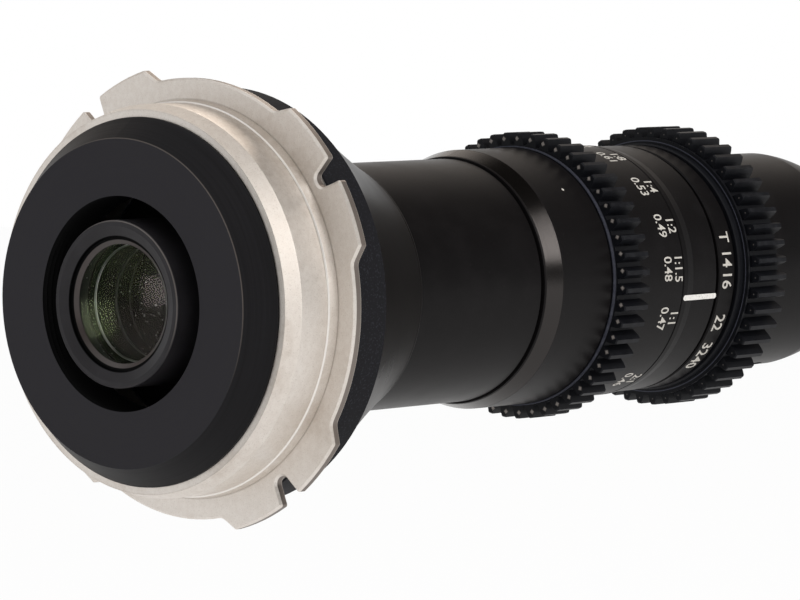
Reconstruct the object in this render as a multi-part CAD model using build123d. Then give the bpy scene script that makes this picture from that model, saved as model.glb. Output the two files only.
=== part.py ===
from build123d import *
from math import acos, asin, cos, degrees, hypot, pi, radians, sin, sqrt, tan
import os

os.makedirs("parts", exist_ok=True)

# Macro probe cinema lens: a 38 mm barrel with two geared rings, a long slim probe and a four-lug mount.
# Stations run along the optical axis, +X towards the front glass, from the seat face of the mount flange.
# Clock angles turn about the optical axis, from the top (+Z) towards the scale side (-Y).
# Radii build up from the iris outwards, and stations from the mount forwards.

# Fits
seat_gap = 0.03          # radial clearance where a piece seats in its own body
run_gap = 0.05           # radial clearance where a piece turns or slides
end_gap = 0.15           # gap along the axis between a turning ring and its neighbour
face_gap = 0.02          # gap between stacked faces
overrun = 1.0            # how far a cutter passes the face that it opens
edge_break = 0.2         # bevel of a turned outer edge

# Iris
blade_count = 7
blade_thickness = 0.1
blade_pitch = 0.17
blade_open_radius = 5.6
blade_width = 4.3
blade_tail_angle = 118.0
blade_closing_angle = 18.7
blade_arm_radius = 0.75
blade_neck_angle = 4.0
pivot_outset = 1.0
pivot_pin_radius = 0.4
drive_pin_radius = 0.35
drive_pin_angle = 24.0
first_blade_angle = 8.0
iris_bore_margin = 0.8
iris_plate_thickness = 1.0
iris_wall = 1.12
iris_wall_length = 5.0
rotor_rim = 2.3
rotor_thickness = 1.8
iris_cover_thickness = 1.0
pivot_pin_recess = 0.3
drive_pin_recess = 0.2
rotor_slot_points = 9
aperture_pin_radius = 0.5
aperture_pin_depth = 0.8
aperture_pin_angle = 195.0
blade_outer_radius = blade_open_radius + blade_width
pivot_circle_radius = blade_outer_radius + pivot_outset
iris_bore_radius = blade_open_radius + iris_bore_margin
rotor_radius = pivot_circle_radius + rotor_rim
iris_wall_radius = rotor_radius + run_gap

# Aperture travel, in degrees of ring turn from the pose of the photograph
aperture_open_turn = 17.0
aperture_closed_turn = -38.0

# Focus travel, in degrees of ring turn from the pose of the photograph
focus_far_turn = 118.0
focus_near_turn = -55.0
focus_lead = 21.6        # travel of the sliding group in one whole turn

# Fixed sleeve that carries the mechanism, and the cam sleeve that turns on it
sleeve_wall = 1.2
sleeve_rear_gap = 0.5
sleeve_front_overlap = 6.85
sleeve_collar_length = 2.8
cam_wall = 0.85
cam_slot_margin_turn = 1.0
cam_pin_count = 3
cam_pin_setback = 5.6
cam_pin_radius = 1.25
cam_pin_depth = 2.2
cam_pin_recess = 0.15
first_cam_pin_angle = 30.0
stop_screw_setback = 5.2
stop_screw_radius = 1.0
stop_screw_angle = 200.0
stop_screw_recess = 0.2
drive_screw_count = 3
drive_screw_radius = 0.8
drive_screw_recess = 0.08
sleeve_bore_radius = iris_wall_radius + iris_wall + seat_gap
sleeve_radius = sleeve_bore_radius + sleeve_wall
sleeve_seat_radius = sleeve_radius + seat_gap
ring_bore_radius = sleeve_radius + run_gap
cam_bore_radius = sleeve_radius + run_gap
cam_radius = cam_bore_radius + cam_wall
focus_bore_radius = cam_radius + seat_gap

# Rings of the barrel, as walls over the bores that carry them
barrel_gap = 0.35
barrel_wall = 0.875
focus_wall = 2.42
focus_rear_step = 0.95
focus_gear_seat_wall = 1.67
focus_scale_seat_wall = 1.17
focus_scale_wall = 1.07
gear_wall = 1.17
aperture_seat_wall = 1.95
aperture_groove_step = 0.35
aperture_scale_wall = 2.85
index_wall = 2.92
barrel_bore_radius = cam_radius + barrel_gap
barrel_radius = barrel_bore_radius + barrel_wall
focus_radius = focus_bore_radius + focus_wall
focus_rear_radius = focus_radius - focus_rear_step
focus_gear_seat_radius = focus_bore_radius + focus_gear_seat_wall
focus_scale_seat_radius = focus_bore_radius + focus_scale_seat_wall
focus_scale_radius = focus_scale_seat_radius + seat_gap + focus_scale_wall
aperture_seat_radius = ring_bore_radius + aperture_seat_wall
aperture_groove_radius = aperture_seat_radius + aperture_groove_step
aperture_scale_radius = ring_bore_radius + aperture_scale_wall
index_radius = sleeve_seat_radius + index_wall

# Gear teeth: 51 of them, which with this root gives the follow-focus pitch of 0.8 mm module
gear_teeth = 51
gear_pressure_angle = 20.0
gear_root_depth_share = 1.25
gear_tip_bevel = 0.2
gear_root_radius = focus_gear_seat_radius + seat_gap + gear_wall
gear_module = gear_root_radius / (gear_teeth / 2 - gear_root_depth_share)
gear_pitch_radius = gear_module * gear_teeth / 2
gear_tip_radius = gear_pitch_radius + gear_module

# Adapter between the mount and the barrel
adapter_rim_length = 6.45
adapter_rim_bevel = 0.12
flare_start_step = 0.25
flare_length = 20.0
flare_end_step = 0.575
flare_hollow = 0.35
flare_lip_length = 0.9
flare_lip_middle_share = 0.33
adapter_pocket_step = 2.27
adapter_pocket_length = 3.8
adapter_socket_length = 6.0
adapter_pocket_radius = sleeve_seat_radius + adapter_pocket_step
flare_end_radius = barrel_radius + flare_end_step

# Camera mount
spigot_length = 9.4
spigot_wall = 1.73
spigot_lead_length = 2.6
spigot_lead_height = 0.7
root_step_length = 1.7
root_step_height = 0.25
root_step_rise = 0.2
root_step_bevel = 0.15
web_thickness = 3.15
web_width = 7.27
web_bore_gap = 0.1
flange_thickness = 1.55
flange_width = 3.4
flange_bevel = 0.3
lug_count = 4
lug_height = 2.0
lug_corner_angle = 20.0
lug_foot_angle = 23.8
first_lug_angle = 57.3
notch_mouth_width = 3.6
notch_floor_width = 1.8
notch_depth = 3.6
notch_corner_radius = 1.05
lug_corner_rounding = 0.4
lug_foot_rounding = 1.6
adapter_rim_step = 1.4
shim_thickness = 0.15
web_bore_radius = adapter_pocket_radius + web_bore_gap
spigot_bore_radius = web_bore_radius + web_width
spigot_radius = spigot_bore_radius + spigot_wall
flange_radius = spigot_radius + flange_width
lug_radius = flange_radius + lug_height
notch_floor_radius = lug_radius - notch_depth
adapter_radius = flange_radius - adapter_rim_step
flare_start_radius = adapter_radius - flare_start_step

# Mount screws
mount_screw_count = 6
mount_screw_radius = 1.0
mount_screw_length = 6.5
mount_screw_head_radius = 1.85
mount_screw_head_height = 1.4
mount_screw_socket_radius = 0.8
mount_screw_socket_depth = 0.8
mount_screw_socket_sides = 6
mount_screw_circle_radius = (web_bore_radius + spigot_bore_radius) / 2

# Rear optics
cell_rear_overhang = 14.5
cell_bore_radius = 8.93
cell_wall = 2.5
cell_face_width = 0.8
cell_mouth_step = 0.26
cell_mouth_depth = 0.53
cell_shoulder_step = 1.03
cell_shoulder_station = -1.0
cell_flange_length = 2.0
cell_nose_gap = 0.9
cell_nose_wall = 1.3
cell_nose_length = 8.0
retainer_wall = 1.21
retainer_length = 0.85
rear_element_thickness = 3.5
rear_element_sag = 0.5
rear_inner_thickness = 3.2
rear_inner_sag = 0.7
lock_ring_length = 1.5
lock_ring_width = 5.3
cell_radius = cell_bore_radius + cell_wall
cell_mouth_radius = cell_bore_radius + cell_mouth_step
cell_shoulder_radius = cell_bore_radius - cell_shoulder_step
cell_nose_radius = sleeve_bore_radius - cell_nose_gap
retainer_inner_radius = cell_mouth_radius - seat_gap - retainer_wall
lock_ring_bore_radius = adapter_pocket_radius - lock_ring_width

# Rear baffle
baffle_overhang = 13.6
baffle_bore_gap = 3.25
baffle_bevel_width = 2.76
baffle_bevel_length = 3.83
baffle_wall = 1.3
baffle_bore_length = 7.0
baffle_ridge_count = 8
baffle_ridge_depth = 0.35
baffle_radius = spigot_bore_radius - seat_gap
baffle_flat_radius = baffle_radius - baffle_bevel_width
baffle_bore_radius = cell_radius + baffle_bore_gap
baffle_rim_station = baffle_bevel_length - baffle_overhang

# Sliding focus group
carrier_rear_reach = 12.0
carrier_length = 24.0
carrier_wall = 3.75
carrier_lip_step = 0.8
carrier_waist_depth = 0.95
carrier_land_length = 5.0
focus_element_thickness = 4.6
focus_element_sag = 1.1
carrier_radius = sleeve_bore_radius - run_gap
carrier_bore_radius = carrier_radius - carrier_wall
carrier_lip_radius = carrier_bore_radius - carrier_lip_step
carrier_waist_radius = carrier_radius - carrier_waist_depth
focus_element_radius = carrier_bore_radius - seat_gap

# Lengths of the barrel's rings
barrel_length = 27.15
barrel_front_gap = 0.3
focus_bevel_length = 3.1
focus_grip_length = 14.45
focus_gear_rim_drop = 0.2
focus_gear_rim_length = 0.5
focus_gear_groove = 0.13
focus_tooth_length = 5.5
focus_tooth_angle = 61.0
focus_scale_length = 10.85
index_length = 8.35
index_taper_start = 1.0
index_taper_length = 1.6
aperture_neck_length = 0.6
aperture_neck_step = 0.9
aperture_scale_length = 3.75
aperture_groove_width = 0.7
aperture_gear_lip_length = 1.1
aperture_gear_lip_drop = 0.65
aperture_gear_rim_length = 0.5
aperture_gear_rim_height = 0.3
aperture_gear_groove = 0.38
aperture_tooth_length = 6.8
aperture_tooth_angle = 60.0
aperture_front_margin = 0.2
iris_setback = 4.15

# Probe, from its outer tube inwards
probe_radius = 10.0
probe_wall = 0.9
probe_length = 247.88
relay_gap = 0.7
relay_wall = 0.8
relay_flange_width = 4.6
relay_flange_length = 4.35
relay_flat_depth = 0.37
relay_lens_count = 4
relay_lens_thickness = 4.5
relay_lens_sag = 0.9
relay_spacer_wall = 0.7
relay_retainer_length = 2.0
relay_end_margin = 12.9
probe_bore_radius = probe_radius - probe_wall
relay_radius = probe_bore_radius - relay_gap
relay_bore_radius = relay_radius - relay_wall
relay_lens_radius = relay_bore_radius - seat_gap
relay_flange_radius = relay_radius + relay_flange_width
relay_seat_radius = relay_flange_radius + seat_gap

# Front housing
housing_wall = 0.87
housing_cylinder_length = 19.3
shoulder_arc_length = 9.0
shoulder_arc_drop = 2.5
shoulder_arc_middle_drop = 0.85
housing_cone_length = 8.65
housing_front_wall = 0.6
housing_front_bevel = 0.4
relay_seat_length = 4.5
housing_bore_step = 0.63
housing_throat_length = 3.1
probe_socket_length = 10.9
housing_radius = sleeve_seat_radius + housing_wall
housing_front_radius = probe_radius + housing_front_wall
housing_bore_radius = relay_seat_radius - housing_bore_step

# Probe tip
tip_length = 16.0
tip_spigot_length = 5.0
tip_spigot_wall = 1.27
tip_rim_depth = 5.0
tip_floor_thickness = 1.0
tip_rim_wall = 0.67
tip_front_bevel = 0.35
seal_setback = 2.4
seal_section_radius = 0.28
seal_section_sides = 8
seal_groove_width = 0.7
objective_rear_reach = 13.0
objective_nose_step = 0.77
objective_nose_recess = 0.55
objective_wall = 1.37
objective_window_wall = 0.8
objective_window_depth = 1.4
objective_light_step = 0.43
objective_shoulder_length = 0.45
objective_lens_1_thickness = 2.8
objective_lens_1_sag = 0.8
objective_lens_2_thickness = 3.6
objective_lens_2_sag = 0.9
objective_lens_2_reach = 7.5
objective_spacer_wall = 0.7
objective_retainer_length = 1.4
window_thickness = 1.0
window_retainer_length = 0.35
window_retainer_wall = 0.6
tip_spigot_radius = probe_bore_radius - seat_gap
tip_bore_radius = tip_spigot_radius - tip_spigot_wall
tip_rim_bore_radius = probe_radius - tip_rim_wall
objective_cell_radius = tip_bore_radius - seat_gap
objective_nose_radius = objective_cell_radius - objective_nose_step
objective_bore_radius = objective_nose_radius - objective_wall
objective_lens_radius = objective_bore_radius - seat_gap
objective_light_radius = objective_bore_radius - objective_light_step
objective_window_radius = objective_nose_radius - objective_window_wall

# Probe lights
led_board_thickness = 0.6
led_count = 8
led_width = 1.6
led_depth = 1.2
led_height = 0.5
diffuser_recess = 0.8
diffuser_thickness = 1.6
flex_width = 2.4
flex_thickness = 0.12
flex_channel_clearance = 0.15
flex_foot_length = 0.4
led_circle_radius = (objective_nose_radius + tip_rim_bore_radius) / 2

# Power socket
socket_reach = 14.55
socket_width = 8.5
socket_thickness = 3.2
socket_corner_radius = 1.4
socket_wall = 0.3
socket_depth = 5.5
socket_mouth_recess = 0.8
socket_floor_thickness = 0.8
socket_tongue_width = 5.6
socket_tongue_thickness = 0.7
socket_tongue_recess = 0.6
socket_mouth_depth = housing_radius - socket_mouth_recess

# Stations, from the mount forwards
adapter_rear_station = flange_thickness + shim_thickness
adapter_shoulder_station = adapter_rear_station + adapter_pocket_length
sleeve_rear_station = adapter_shoulder_station + sleeve_rear_gap
flare_start_station = adapter_rear_station + adapter_rim_length
flare_end_station = flare_start_station + flare_length
barrel_socket_station = flare_end_station - adapter_socket_length
sleeve_collar_front = barrel_socket_station + sleeve_collar_length
barrel_front_station = flare_end_station + barrel_length
focus_rear_station = barrel_front_station + barrel_front_gap
focus_gear_seat_station = focus_rear_station + focus_grip_length
focus_gear_start = focus_gear_seat_station + face_gap
focus_tooth_start = focus_gear_start + focus_gear_rim_length + focus_gear_groove
focus_tooth_end = focus_tooth_start + focus_tooth_length
focus_scale_seat_station = focus_tooth_end + end_gap
focus_front_station = focus_scale_seat_station + focus_scale_length
index_rear_station = focus_front_station + end_gap
index_front_station = index_rear_station + index_length
aperture_rear_station = index_front_station + end_gap
aperture_scale_start = aperture_rear_station + aperture_neck_length
aperture_scale_end = aperture_scale_start + aperture_scale_length
aperture_groove_end = aperture_scale_end + aperture_groove_width
aperture_gear_start = aperture_groove_end + face_gap
aperture_lip_end = aperture_gear_start + aperture_gear_lip_length
aperture_rim_end = aperture_lip_end + aperture_gear_rim_length
aperture_tooth_start = aperture_rim_end + aperture_gear_groove
aperture_tooth_end = aperture_tooth_start + aperture_tooth_length
aperture_front_station = aperture_tooth_end + aperture_front_margin
housing_rear_station = aperture_front_station + end_gap
sleeve_front_station = housing_rear_station + sleeve_front_overlap
shoulder_arc_start = housing_rear_station + housing_cylinder_length
shoulder_arc_end = shoulder_arc_start + shoulder_arc_length
housing_front_station = shoulder_arc_end + housing_cone_length
probe_socket_station = housing_front_station - probe_socket_length
probe_rear_station = probe_socket_station + face_gap
probe_front_station = probe_rear_station + probe_length
front_station = probe_front_station + tip_length
tip_spigot_station = probe_front_station - tip_spigot_length
seal_station = probe_front_station - seal_setback
tip_floor_front = front_station - tip_rim_depth
tip_floor_station = tip_floor_front - tip_floor_thickness
relay_front_station = tip_spigot_station - end_gap
relay_rear_station = sleeve_front_station + 2 * face_gap
relay_first_lens_station = relay_front_station - relay_end_margin
relay_last_lens_station = relay_rear_station + relay_flange_length + relay_end_margin
objective_rear_station = tip_floor_station - objective_rear_reach
objective_nose_front_station = front_station - objective_nose_recess
objective_window_station = objective_nose_front_station - objective_window_depth
objective_bore_front_station = objective_window_station - objective_shoulder_length
objective_lens_2_station = tip_floor_station - objective_lens_2_reach
diffuser_front_station = front_station - diffuser_recess
socket_station = housing_rear_station + socket_reach
cam_pin_station = focus_rear_station - cam_pin_setback
carrier_rear_station = cam_pin_station - carrier_rear_reach
stop_screw_station = focus_front_station - stop_screw_setback
drive_screw_station = (focus_tooth_start + focus_tooth_end) / 2
iris_station = aperture_rear_station + iris_setback
iris_plate_front = iris_station + iris_plate_thickness
rotor_start = iris_plate_front + blade_pitch * blade_count + face_gap
rotor_middle = rotor_start + rotor_thickness / 2
lead_per_degree = focus_lead / 360
blade_ratio = blade_closing_angle / (aperture_open_turn - aperture_closed_turn)
flex_top = relay_radius - relay_flat_depth + seat_gap
flex_rear_station = socket_station - socket_thickness / 2 - flex_foot_length


def turned(*corners):
    """A solid turned about the optical axis from a half profile of (station, radius) corners."""
    outline = Polyline(*[(station, 0, radius) for station, radius in corners], close=True)
    return revolve(make_face(outline), Axis.X)


def ring(start, end, inner, outer, rear_bevel=0, front_bevel=0):
    """A plain turned ring, with a bevel on either outer edge where one is given."""
    corners = [(start, inner), (end, inner)]
    if front_bevel:
        corners += [(end, outer - front_bevel), (end - front_bevel, outer)]
    else:
        corners += [(end, outer)]
    if rear_bevel:
        corners += [(start + rear_bevel, outer), (start, outer - rear_bevel)]
    else:
        corners += [(start, outer)]
    return turned(*corners)


def clocked(shape, angle):
    """The shape turned about the optical axis to a clock angle."""
    return Rot(angle, 0, 0) * shape


def spaced(count, first=0):
    """Clock angles of equally spaced copies."""
    return [first + 360 * copy / count for copy in range(count)]


def around(shape, angles):
    """Copies of a shape at several clock angles, as one group."""
    return Compound(children=[clocked(shape, angle) for angle in angles])


def radial_rod(station, inner, outer, radius):
    """A round rod that points outwards at the top of the lens."""
    return Pos(station, 0, (inner + outer) / 2) * Cylinder(radius, outer - inner)


def polar(radius, angle):
    """A point of a cross-section at a radius and clock angle, in the section's own axes."""
    return (-radius * sin(radians(angle)), radius * cos(radians(angle)))


def plate(face, start, end):
    """A cross-section face made solid between two stations."""
    return Pos(start, 0, 0) * extrude(face, end - start)


def section(shape):
    """A flat shape laid square to the optical axis."""
    return Plane.YZ * shape


def arc_slot(station, half_width, inner, outer, start_angle, end_angle):
    """A cutter for a slot that runs round the axis between two clock angles, with round ends."""
    outline = Pos(station, 0, (inner + outer) / 2) * Rot(90, 0, 0) * Rectangle(2 * half_width, outer - inner)
    band = revolve(outline, Axis.X, end_angle - start_angle)
    rod = radial_rod(station, inner, outer, half_width)
    return clocked(band, start_angle) + clocked(rod, start_angle) + clocked(rod, end_angle)


def lens_face(vertex, sag, radius):
    """Half profile of a spherical face; a positive sag carries its edge forward of its vertex."""
    sphere = (radius**2 + sag**2) / (2 * sag)
    half_turn = asin(radius / sphere) / 2
    middle = (vertex + sphere * (1 - cos(half_turn)), 0, sphere * sin(half_turn))
    return ThreePointArc((vertex, 0, 0), middle, (vertex + sag, 0, radius))


def bulge(sag, radius, inner):
    """How far a spherical face stands past its edge where a seat of smaller radius meets it."""
    sphere = (radius**2 + sag**2) / (2 * sag)
    return sqrt(sphere**2 - inner**2) - sqrt(sphere**2 - radius**2)


def element(rear, front, radius, rear_sag, front_sag):
    """A round lens element between two vertices."""
    back = lens_face(rear, rear_sag, radius)
    face = lens_face(front, front_sag, radius)
    rim = Line(back @ 1, face @ 1)
    core = Line(face @ 0, back @ 0)
    return revolve(make_face([back, rim, face, core]), Axis.X)


def lug_outline():
    """One lug of the mount flange, with sloped ends, at the top of the section."""
    left_foot = polar(flange_radius, lug_foot_angle)
    left_corner = polar(lug_radius, lug_corner_angle)
    right_corner = polar(lug_radius, -lug_corner_angle)
    right_foot = polar(flange_radius, -lug_foot_angle)
    edges = [
        Line((0, 0), left_foot),
        Line(left_foot, left_corner),
        ThreePointArc(left_corner, (0, lug_radius), right_corner),
        Line(right_corner, right_foot),
        Line(right_foot, (0, 0)),
    ]
    return make_face(edges)


def notch_outline():
    """The tapered notch in the middle of a lug, cut a little past the lug's edge."""
    flare_share = (notch_mouth_width - notch_floor_width) / (lug_radius - notch_floor_radius) / 2
    top = lug_radius + overrun
    top_half = notch_mouth_width / 2 + overrun * flare_share
    floor_half = notch_floor_width / 2
    outline = Polyline(
        (-top_half, top),
        (-floor_half, notch_floor_radius),
        (floor_half, notch_floor_radius),
        (top_half, top),
        close=True,
    )
    face = make_face(outline)
    corners = face.vertices().sort_by(Axis.Y)[:2]
    return fillet(corners, notch_corner_radius)


def mount_flange():
    """Silver mount: the camera spigot, the flange with its notched lugs, and the screwed web inside."""
    outline = Circle(flange_radius)
    for angle in spaced(lug_count, first_lug_angle):
        outline += Rot(0, 0, angle) * lug_outline()
    for angle in spaced(lug_count, first_lug_angle):
        outline -= Rot(0, 0, angle) * notch_outline()
    feet = [point for point in outline.vertices() if abs(hypot(point.X, point.Y) - flange_radius) < face_gap]
    outline = fillet(feet, lug_foot_rounding)
    corners = [point for point in outline.vertices() if hypot(point.X, point.Y) > lug_radius - face_gap]
    outline = fillet(corners, lug_corner_rounding)
    outline -= Circle(web_bore_radius)
    flange = plate(section(outline), 0, flange_thickness)
    outer_edges = [
        edge
        for edge in flange.edges()
        if edge.bounding_box().size.X < face_gap and hypot(*edge.center()) > notch_floor_radius - edge_break
    ]
    flange = chamfer(outer_edges, flange_bevel)
    lead_front = spigot_lead_length - spigot_length
    step = spigot_radius + root_step_height
    spigot = turned(
        (-spigot_length, spigot_bore_radius),
        (flange_thickness - web_thickness, spigot_bore_radius),
        (flange_thickness - web_thickness, web_bore_radius),
        (flange_thickness / 2, web_bore_radius),
        (flange_thickness / 2, step + root_step_rise),
        (0, step + root_step_rise),
        (root_step_bevel - root_step_length, step),
        (-root_step_length, step - root_step_bevel),
        (-root_step_length, spigot_radius),
        (lead_front, spigot_radius),
        (-spigot_length, spigot_radius - spigot_lead_height),
    )
    body = flange + spigot
    hole = Pos(0, 0, mount_screw_circle_radius) * Rot(0, 90, 0) * Cylinder(
        mount_screw_radius + seat_gap, web_thickness + 2 * overrun
    )
    return body - [clocked(hole, angle) for angle in spaced(mount_screw_count)]


def mount_shim():
    """Thin ring that sets the distance from the flange to the film plane."""
    shim = ring(flange_thickness, adapter_rear_station, web_bore_radius, adapter_radius - edge_break)
    hole = Pos(flange_thickness, 0, mount_screw_circle_radius) * Rot(0, 90, 0) * Cylinder(
        mount_screw_radius + seat_gap, 2 * overrun
    )
    return shim - [clocked(hole, angle) for angle in spaced(mount_screw_count)]


def mount_screw():
    """Socket-head screw at the top of the screw circle, driven from the rear."""
    seat = flange_thickness - web_thickness
    head_rear = seat - mount_screw_head_height
    screw = turned(
        (head_rear, 0),
        (seat + mount_screw_length, 0),
        (seat + mount_screw_length, mount_screw_radius),
        (seat, mount_screw_radius),
        (seat, mount_screw_head_radius),
        (head_rear + edge_break, mount_screw_head_radius),
        (head_rear, mount_screw_head_radius - edge_break),
    )
    hexagon = section(RegularPolygon(mount_screw_socket_radius, mount_screw_socket_sides))
    screw -= plate(hexagon, head_rear - overrun, head_rear + mount_screw_socket_depth)
    return Pos(0, 0, mount_screw_circle_radius) * screw


def mount_screws():
    return around(mount_screw(), spaced(mount_screw_count))


def mount_adapter():
    """Black body behind the flange: a short rim and the hollow-sided flare that runs down to the barrel."""
    lip_start = flare_end_station - flare_lip_length
    lip_radius = flare_end_radius + (flare_start_radius - flare_end_radius) * flare_lip_length / flare_length
    middle_station = (flare_start_station + lip_start) / 2
    middle_radius = (flare_start_radius + lip_radius) / 2 - flare_hollow
    inner = [
        (flare_end_station, barrel_radius + seat_gap),
        (barrel_socket_station, barrel_radius + seat_gap),
        (barrel_socket_station, sleeve_seat_radius),
        (adapter_shoulder_station, sleeve_seat_radius),
        (adapter_shoulder_station, adapter_pocket_radius),
        (adapter_rear_station, adapter_pocket_radius),
        (adapter_rear_station, adapter_radius - edge_break),
        (adapter_rear_station + edge_break, adapter_radius),
        (flare_start_station - adapter_rim_bevel, adapter_radius),
        (flare_start_station, flare_start_radius),
    ]
    edges = [Polyline(*[(station, 0, radius) for station, radius in inner])]
    flare_start = (flare_start_station, 0, flare_start_radius)
    flare_middle = (middle_station, 0, middle_radius)
    flare_end = (lip_start, 0, lip_radius)
    edges.append(ThreePointArc(flare_start, flare_middle, flare_end))
    lip_middle_station = flare_end_station - flare_lip_length * flare_lip_middle_share
    lip_middle = (lip_middle_station, 0, (lip_radius + flare_end_radius) / 2)
    edges.append(ThreePointArc(flare_end, lip_middle, (flare_end_station, 0, flare_end_radius - edge_break)))
    edges.append(Line(edges[-1] @ 1, edges[0] @ 0))
    body = revolve(make_face(edges), Axis.X)
    depth = mount_screw_length
    hole = Pos(0, 0, mount_screw_circle_radius) * Rot(0, 90, 0) * Cylinder(
        mount_screw_radius + seat_gap, 2 * depth
    )
    return body - [clocked(hole, angle) for angle in spaced(mount_screw_count)]


def rear_baffle():
    """Black ring that closes the spigot, with a ridged bore that swallows stray light."""
    outer = baffle_radius
    web_rear = flange_thickness - web_thickness
    face = -baffle_overhang
    ridge_pitch = baffle_bore_length / baffle_ridge_count
    bore = [(face, baffle_bore_radius)]
    for ridge in range(baffle_ridge_count):
        start = face + ridge * ridge_pitch
        bore.append((start + ridge_pitch / 2, baffle_bore_radius + baffle_ridge_depth))
        bore.append((start + ridge_pitch, baffle_bore_radius))
    end = face + baffle_bore_length
    tube_outer = baffle_bore_radius + baffle_wall
    return turned(
        *bore,
        (end, tube_outer),
        (face + baffle_wall, tube_outer),
        (face + baffle_wall, baffle_flat_radius - baffle_wall / 2),
        (baffle_rim_station + baffle_wall / 2, outer - baffle_wall),
        (web_rear - face_gap, outer - baffle_wall),
        (web_rear - face_gap, outer),
        (baffle_rim_station, outer),
        (face, baffle_flat_radius),
    )


def rear_cell():
    """Cell of the rear glass: a dished rear face, the glass bore, a flange and a light-trap nose."""
    rear = -cell_rear_overhang
    mouth = rear + cell_mouth_depth
    glass_rear = mouth + retainer_length
    flange_rear = adapter_shoulder_station - cell_flange_length
    nose_front = adapter_shoulder_station + cell_nose_length
    return turned(
        (rear, cell_radius - cell_face_width),
        (mouth, cell_mouth_radius),
        (glass_rear, cell_mouth_radius),
        (glass_rear, cell_bore_radius),
        (cell_shoulder_station, cell_bore_radius),
        (cell_shoulder_station, cell_shoulder_radius),
        (adapter_shoulder_station, cell_shoulder_radius),
        (nose_front, cell_nose_radius - cell_nose_wall),
        (nose_front, cell_nose_radius),
        (adapter_shoulder_station, cell_nose_radius),
        (adapter_shoulder_station, adapter_pocket_radius - seat_gap),
        (flange_rear, adapter_pocket_radius - seat_gap),
        (flange_rear, cell_radius),
        (rear + edge_break, cell_radius),
        (rear, cell_radius - edge_break),
    )


def rear_lock_ring():
    """Ring behind the cell's flange, with two spanner notches."""
    front = adapter_shoulder_station - cell_flange_length - face_gap
    body = ring(front - lock_ring_length, front, lock_ring_bore_radius, adapter_pocket_radius - seat_gap)
    depth = (adapter_pocket_radius - lock_ring_bore_radius) / 2
    notch = Pos(front - lock_ring_length, 0, lock_ring_bore_radius) * Box(lock_ring_length, depth, depth)
    return body - [clocked(notch, angle) for angle in spaced(2)]


def rear_retainer():
    """Slim ring that holds the rear glass in its cell."""
    rear = cell_mouth_depth - cell_rear_overhang
    bevel = retainer_length / 2
    front = rear + retainer_length
    outer = cell_mouth_radius - seat_gap
    return turned(
        (rear, retainer_inner_radius + bevel),
        (rear + bevel, retainer_inner_radius),
        (front, retainer_inner_radius),
        (front, outer),
        (rear, outer),
    )


def rear_glass_vertex():
    """Station of the rear glass's rear vertex, from the retainer's seat."""
    rise = bulge(rear_element_sag, cell_bore_radius - seat_gap, retainer_inner_radius)
    return cell_mouth_depth - cell_rear_overhang + retainer_length + face_gap + rise - rear_element_sag


def rear_element():
    """Rear glass, bulging towards the camera."""
    vertex = rear_glass_vertex()
    radius = cell_bore_radius - seat_gap
    return element(vertex, vertex + rear_element_thickness, radius, rear_element_sag, rear_element_sag)


def rear_inner_rise():
    """How far the second rear glass bulges past its edge at its seats."""
    return bulge(rear_inner_sag, cell_bore_radius - seat_gap, cell_shoulder_radius)


def rear_inner_element():
    """Second glass of the rear cell, seated on the cell's shoulder."""
    radius = cell_bore_radius - seat_gap
    vertex = cell_shoulder_station - face_gap - rear_inner_rise() + rear_inner_sag
    return element(vertex - rear_inner_thickness, vertex, radius, rear_inner_sag, -rear_inner_sag)


def rear_spacer():
    """Spacer between the two rear glasses."""
    start = rear_glass_vertex() + rear_element_thickness + rear_element_sag + face_gap
    glass_edge = rear_inner_thickness - 2 * rear_inner_sag + 2 * rear_inner_rise()
    end = cell_shoulder_station - 2 * face_gap - glass_edge
    return ring(start, end, cell_shoulder_radius, cell_bore_radius - seat_gap)


def straight_slot(half_width, start, end):
    """A cutter for a slot along the axis through the sleeve, with round ends."""
    inner = sleeve_bore_radius - overrun
    outer = sleeve_radius + overrun
    length = end - start
    face = SlotCenterToCenter(length, 2 * half_width)
    return Pos((start + end) / 2, 0, inner) * extrude(face, outer - inner)


def main_sleeve():
    """Fixed sleeve: straight slots guide the focus pins, a curved one passes the iris pin."""
    collar_outer = barrel_radius
    body = turned(
        (sleeve_rear_station, sleeve_bore_radius),
        (sleeve_front_station, sleeve_bore_radius),
        (sleeve_front_station, sleeve_radius),
        (sleeve_collar_front, sleeve_radius),
        (sleeve_collar_front, collar_outer),
        (barrel_socket_station, collar_outer),
        (barrel_socket_station, sleeve_radius),
        (sleeve_rear_station, sleeve_radius),
    )
    rear = cam_pin_station + lead_per_degree * (focus_near_turn - cam_slot_margin_turn)
    front = cam_pin_station + lead_per_degree * (focus_far_turn + cam_slot_margin_turn)
    guide = straight_slot(cam_pin_radius + run_gap, rear, front)
    body -= [clocked(guide, angle) for angle in spaced(cam_pin_count, first_cam_pin_angle)]
    stop_hole = radial_rod(stop_screw_station, sleeve_bore_radius - overrun, sleeve_radius + overrun,
                           stop_screw_radius + seat_gap)
    body -= clocked(stop_hole, stop_screw_angle)
    return body - iris_pin_slot(sleeve_bore_radius - overrun, sleeve_radius + overrun)


def iris_pin_slot(inner, outer):
    """A cutter for the curved slot that the iris pin sweeps, a little wider than its throw."""
    half_width = aperture_pin_radius + end_gap
    spare = degrees(end_gap / sleeve_radius)
    start = aperture_pin_angle + aperture_closed_turn - spare
    end = aperture_pin_angle + aperture_open_turn + spare
    return arc_slot(rotor_middle, half_width, inner, outer, start, end)


def rear_barrel():
    """Slim outer tube between the flare and the focus ring."""
    start = sleeve_collar_front + face_gap
    return ring(start, barrel_front_station, barrel_bore_radius, barrel_radius, front_bevel=edge_break)


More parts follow.
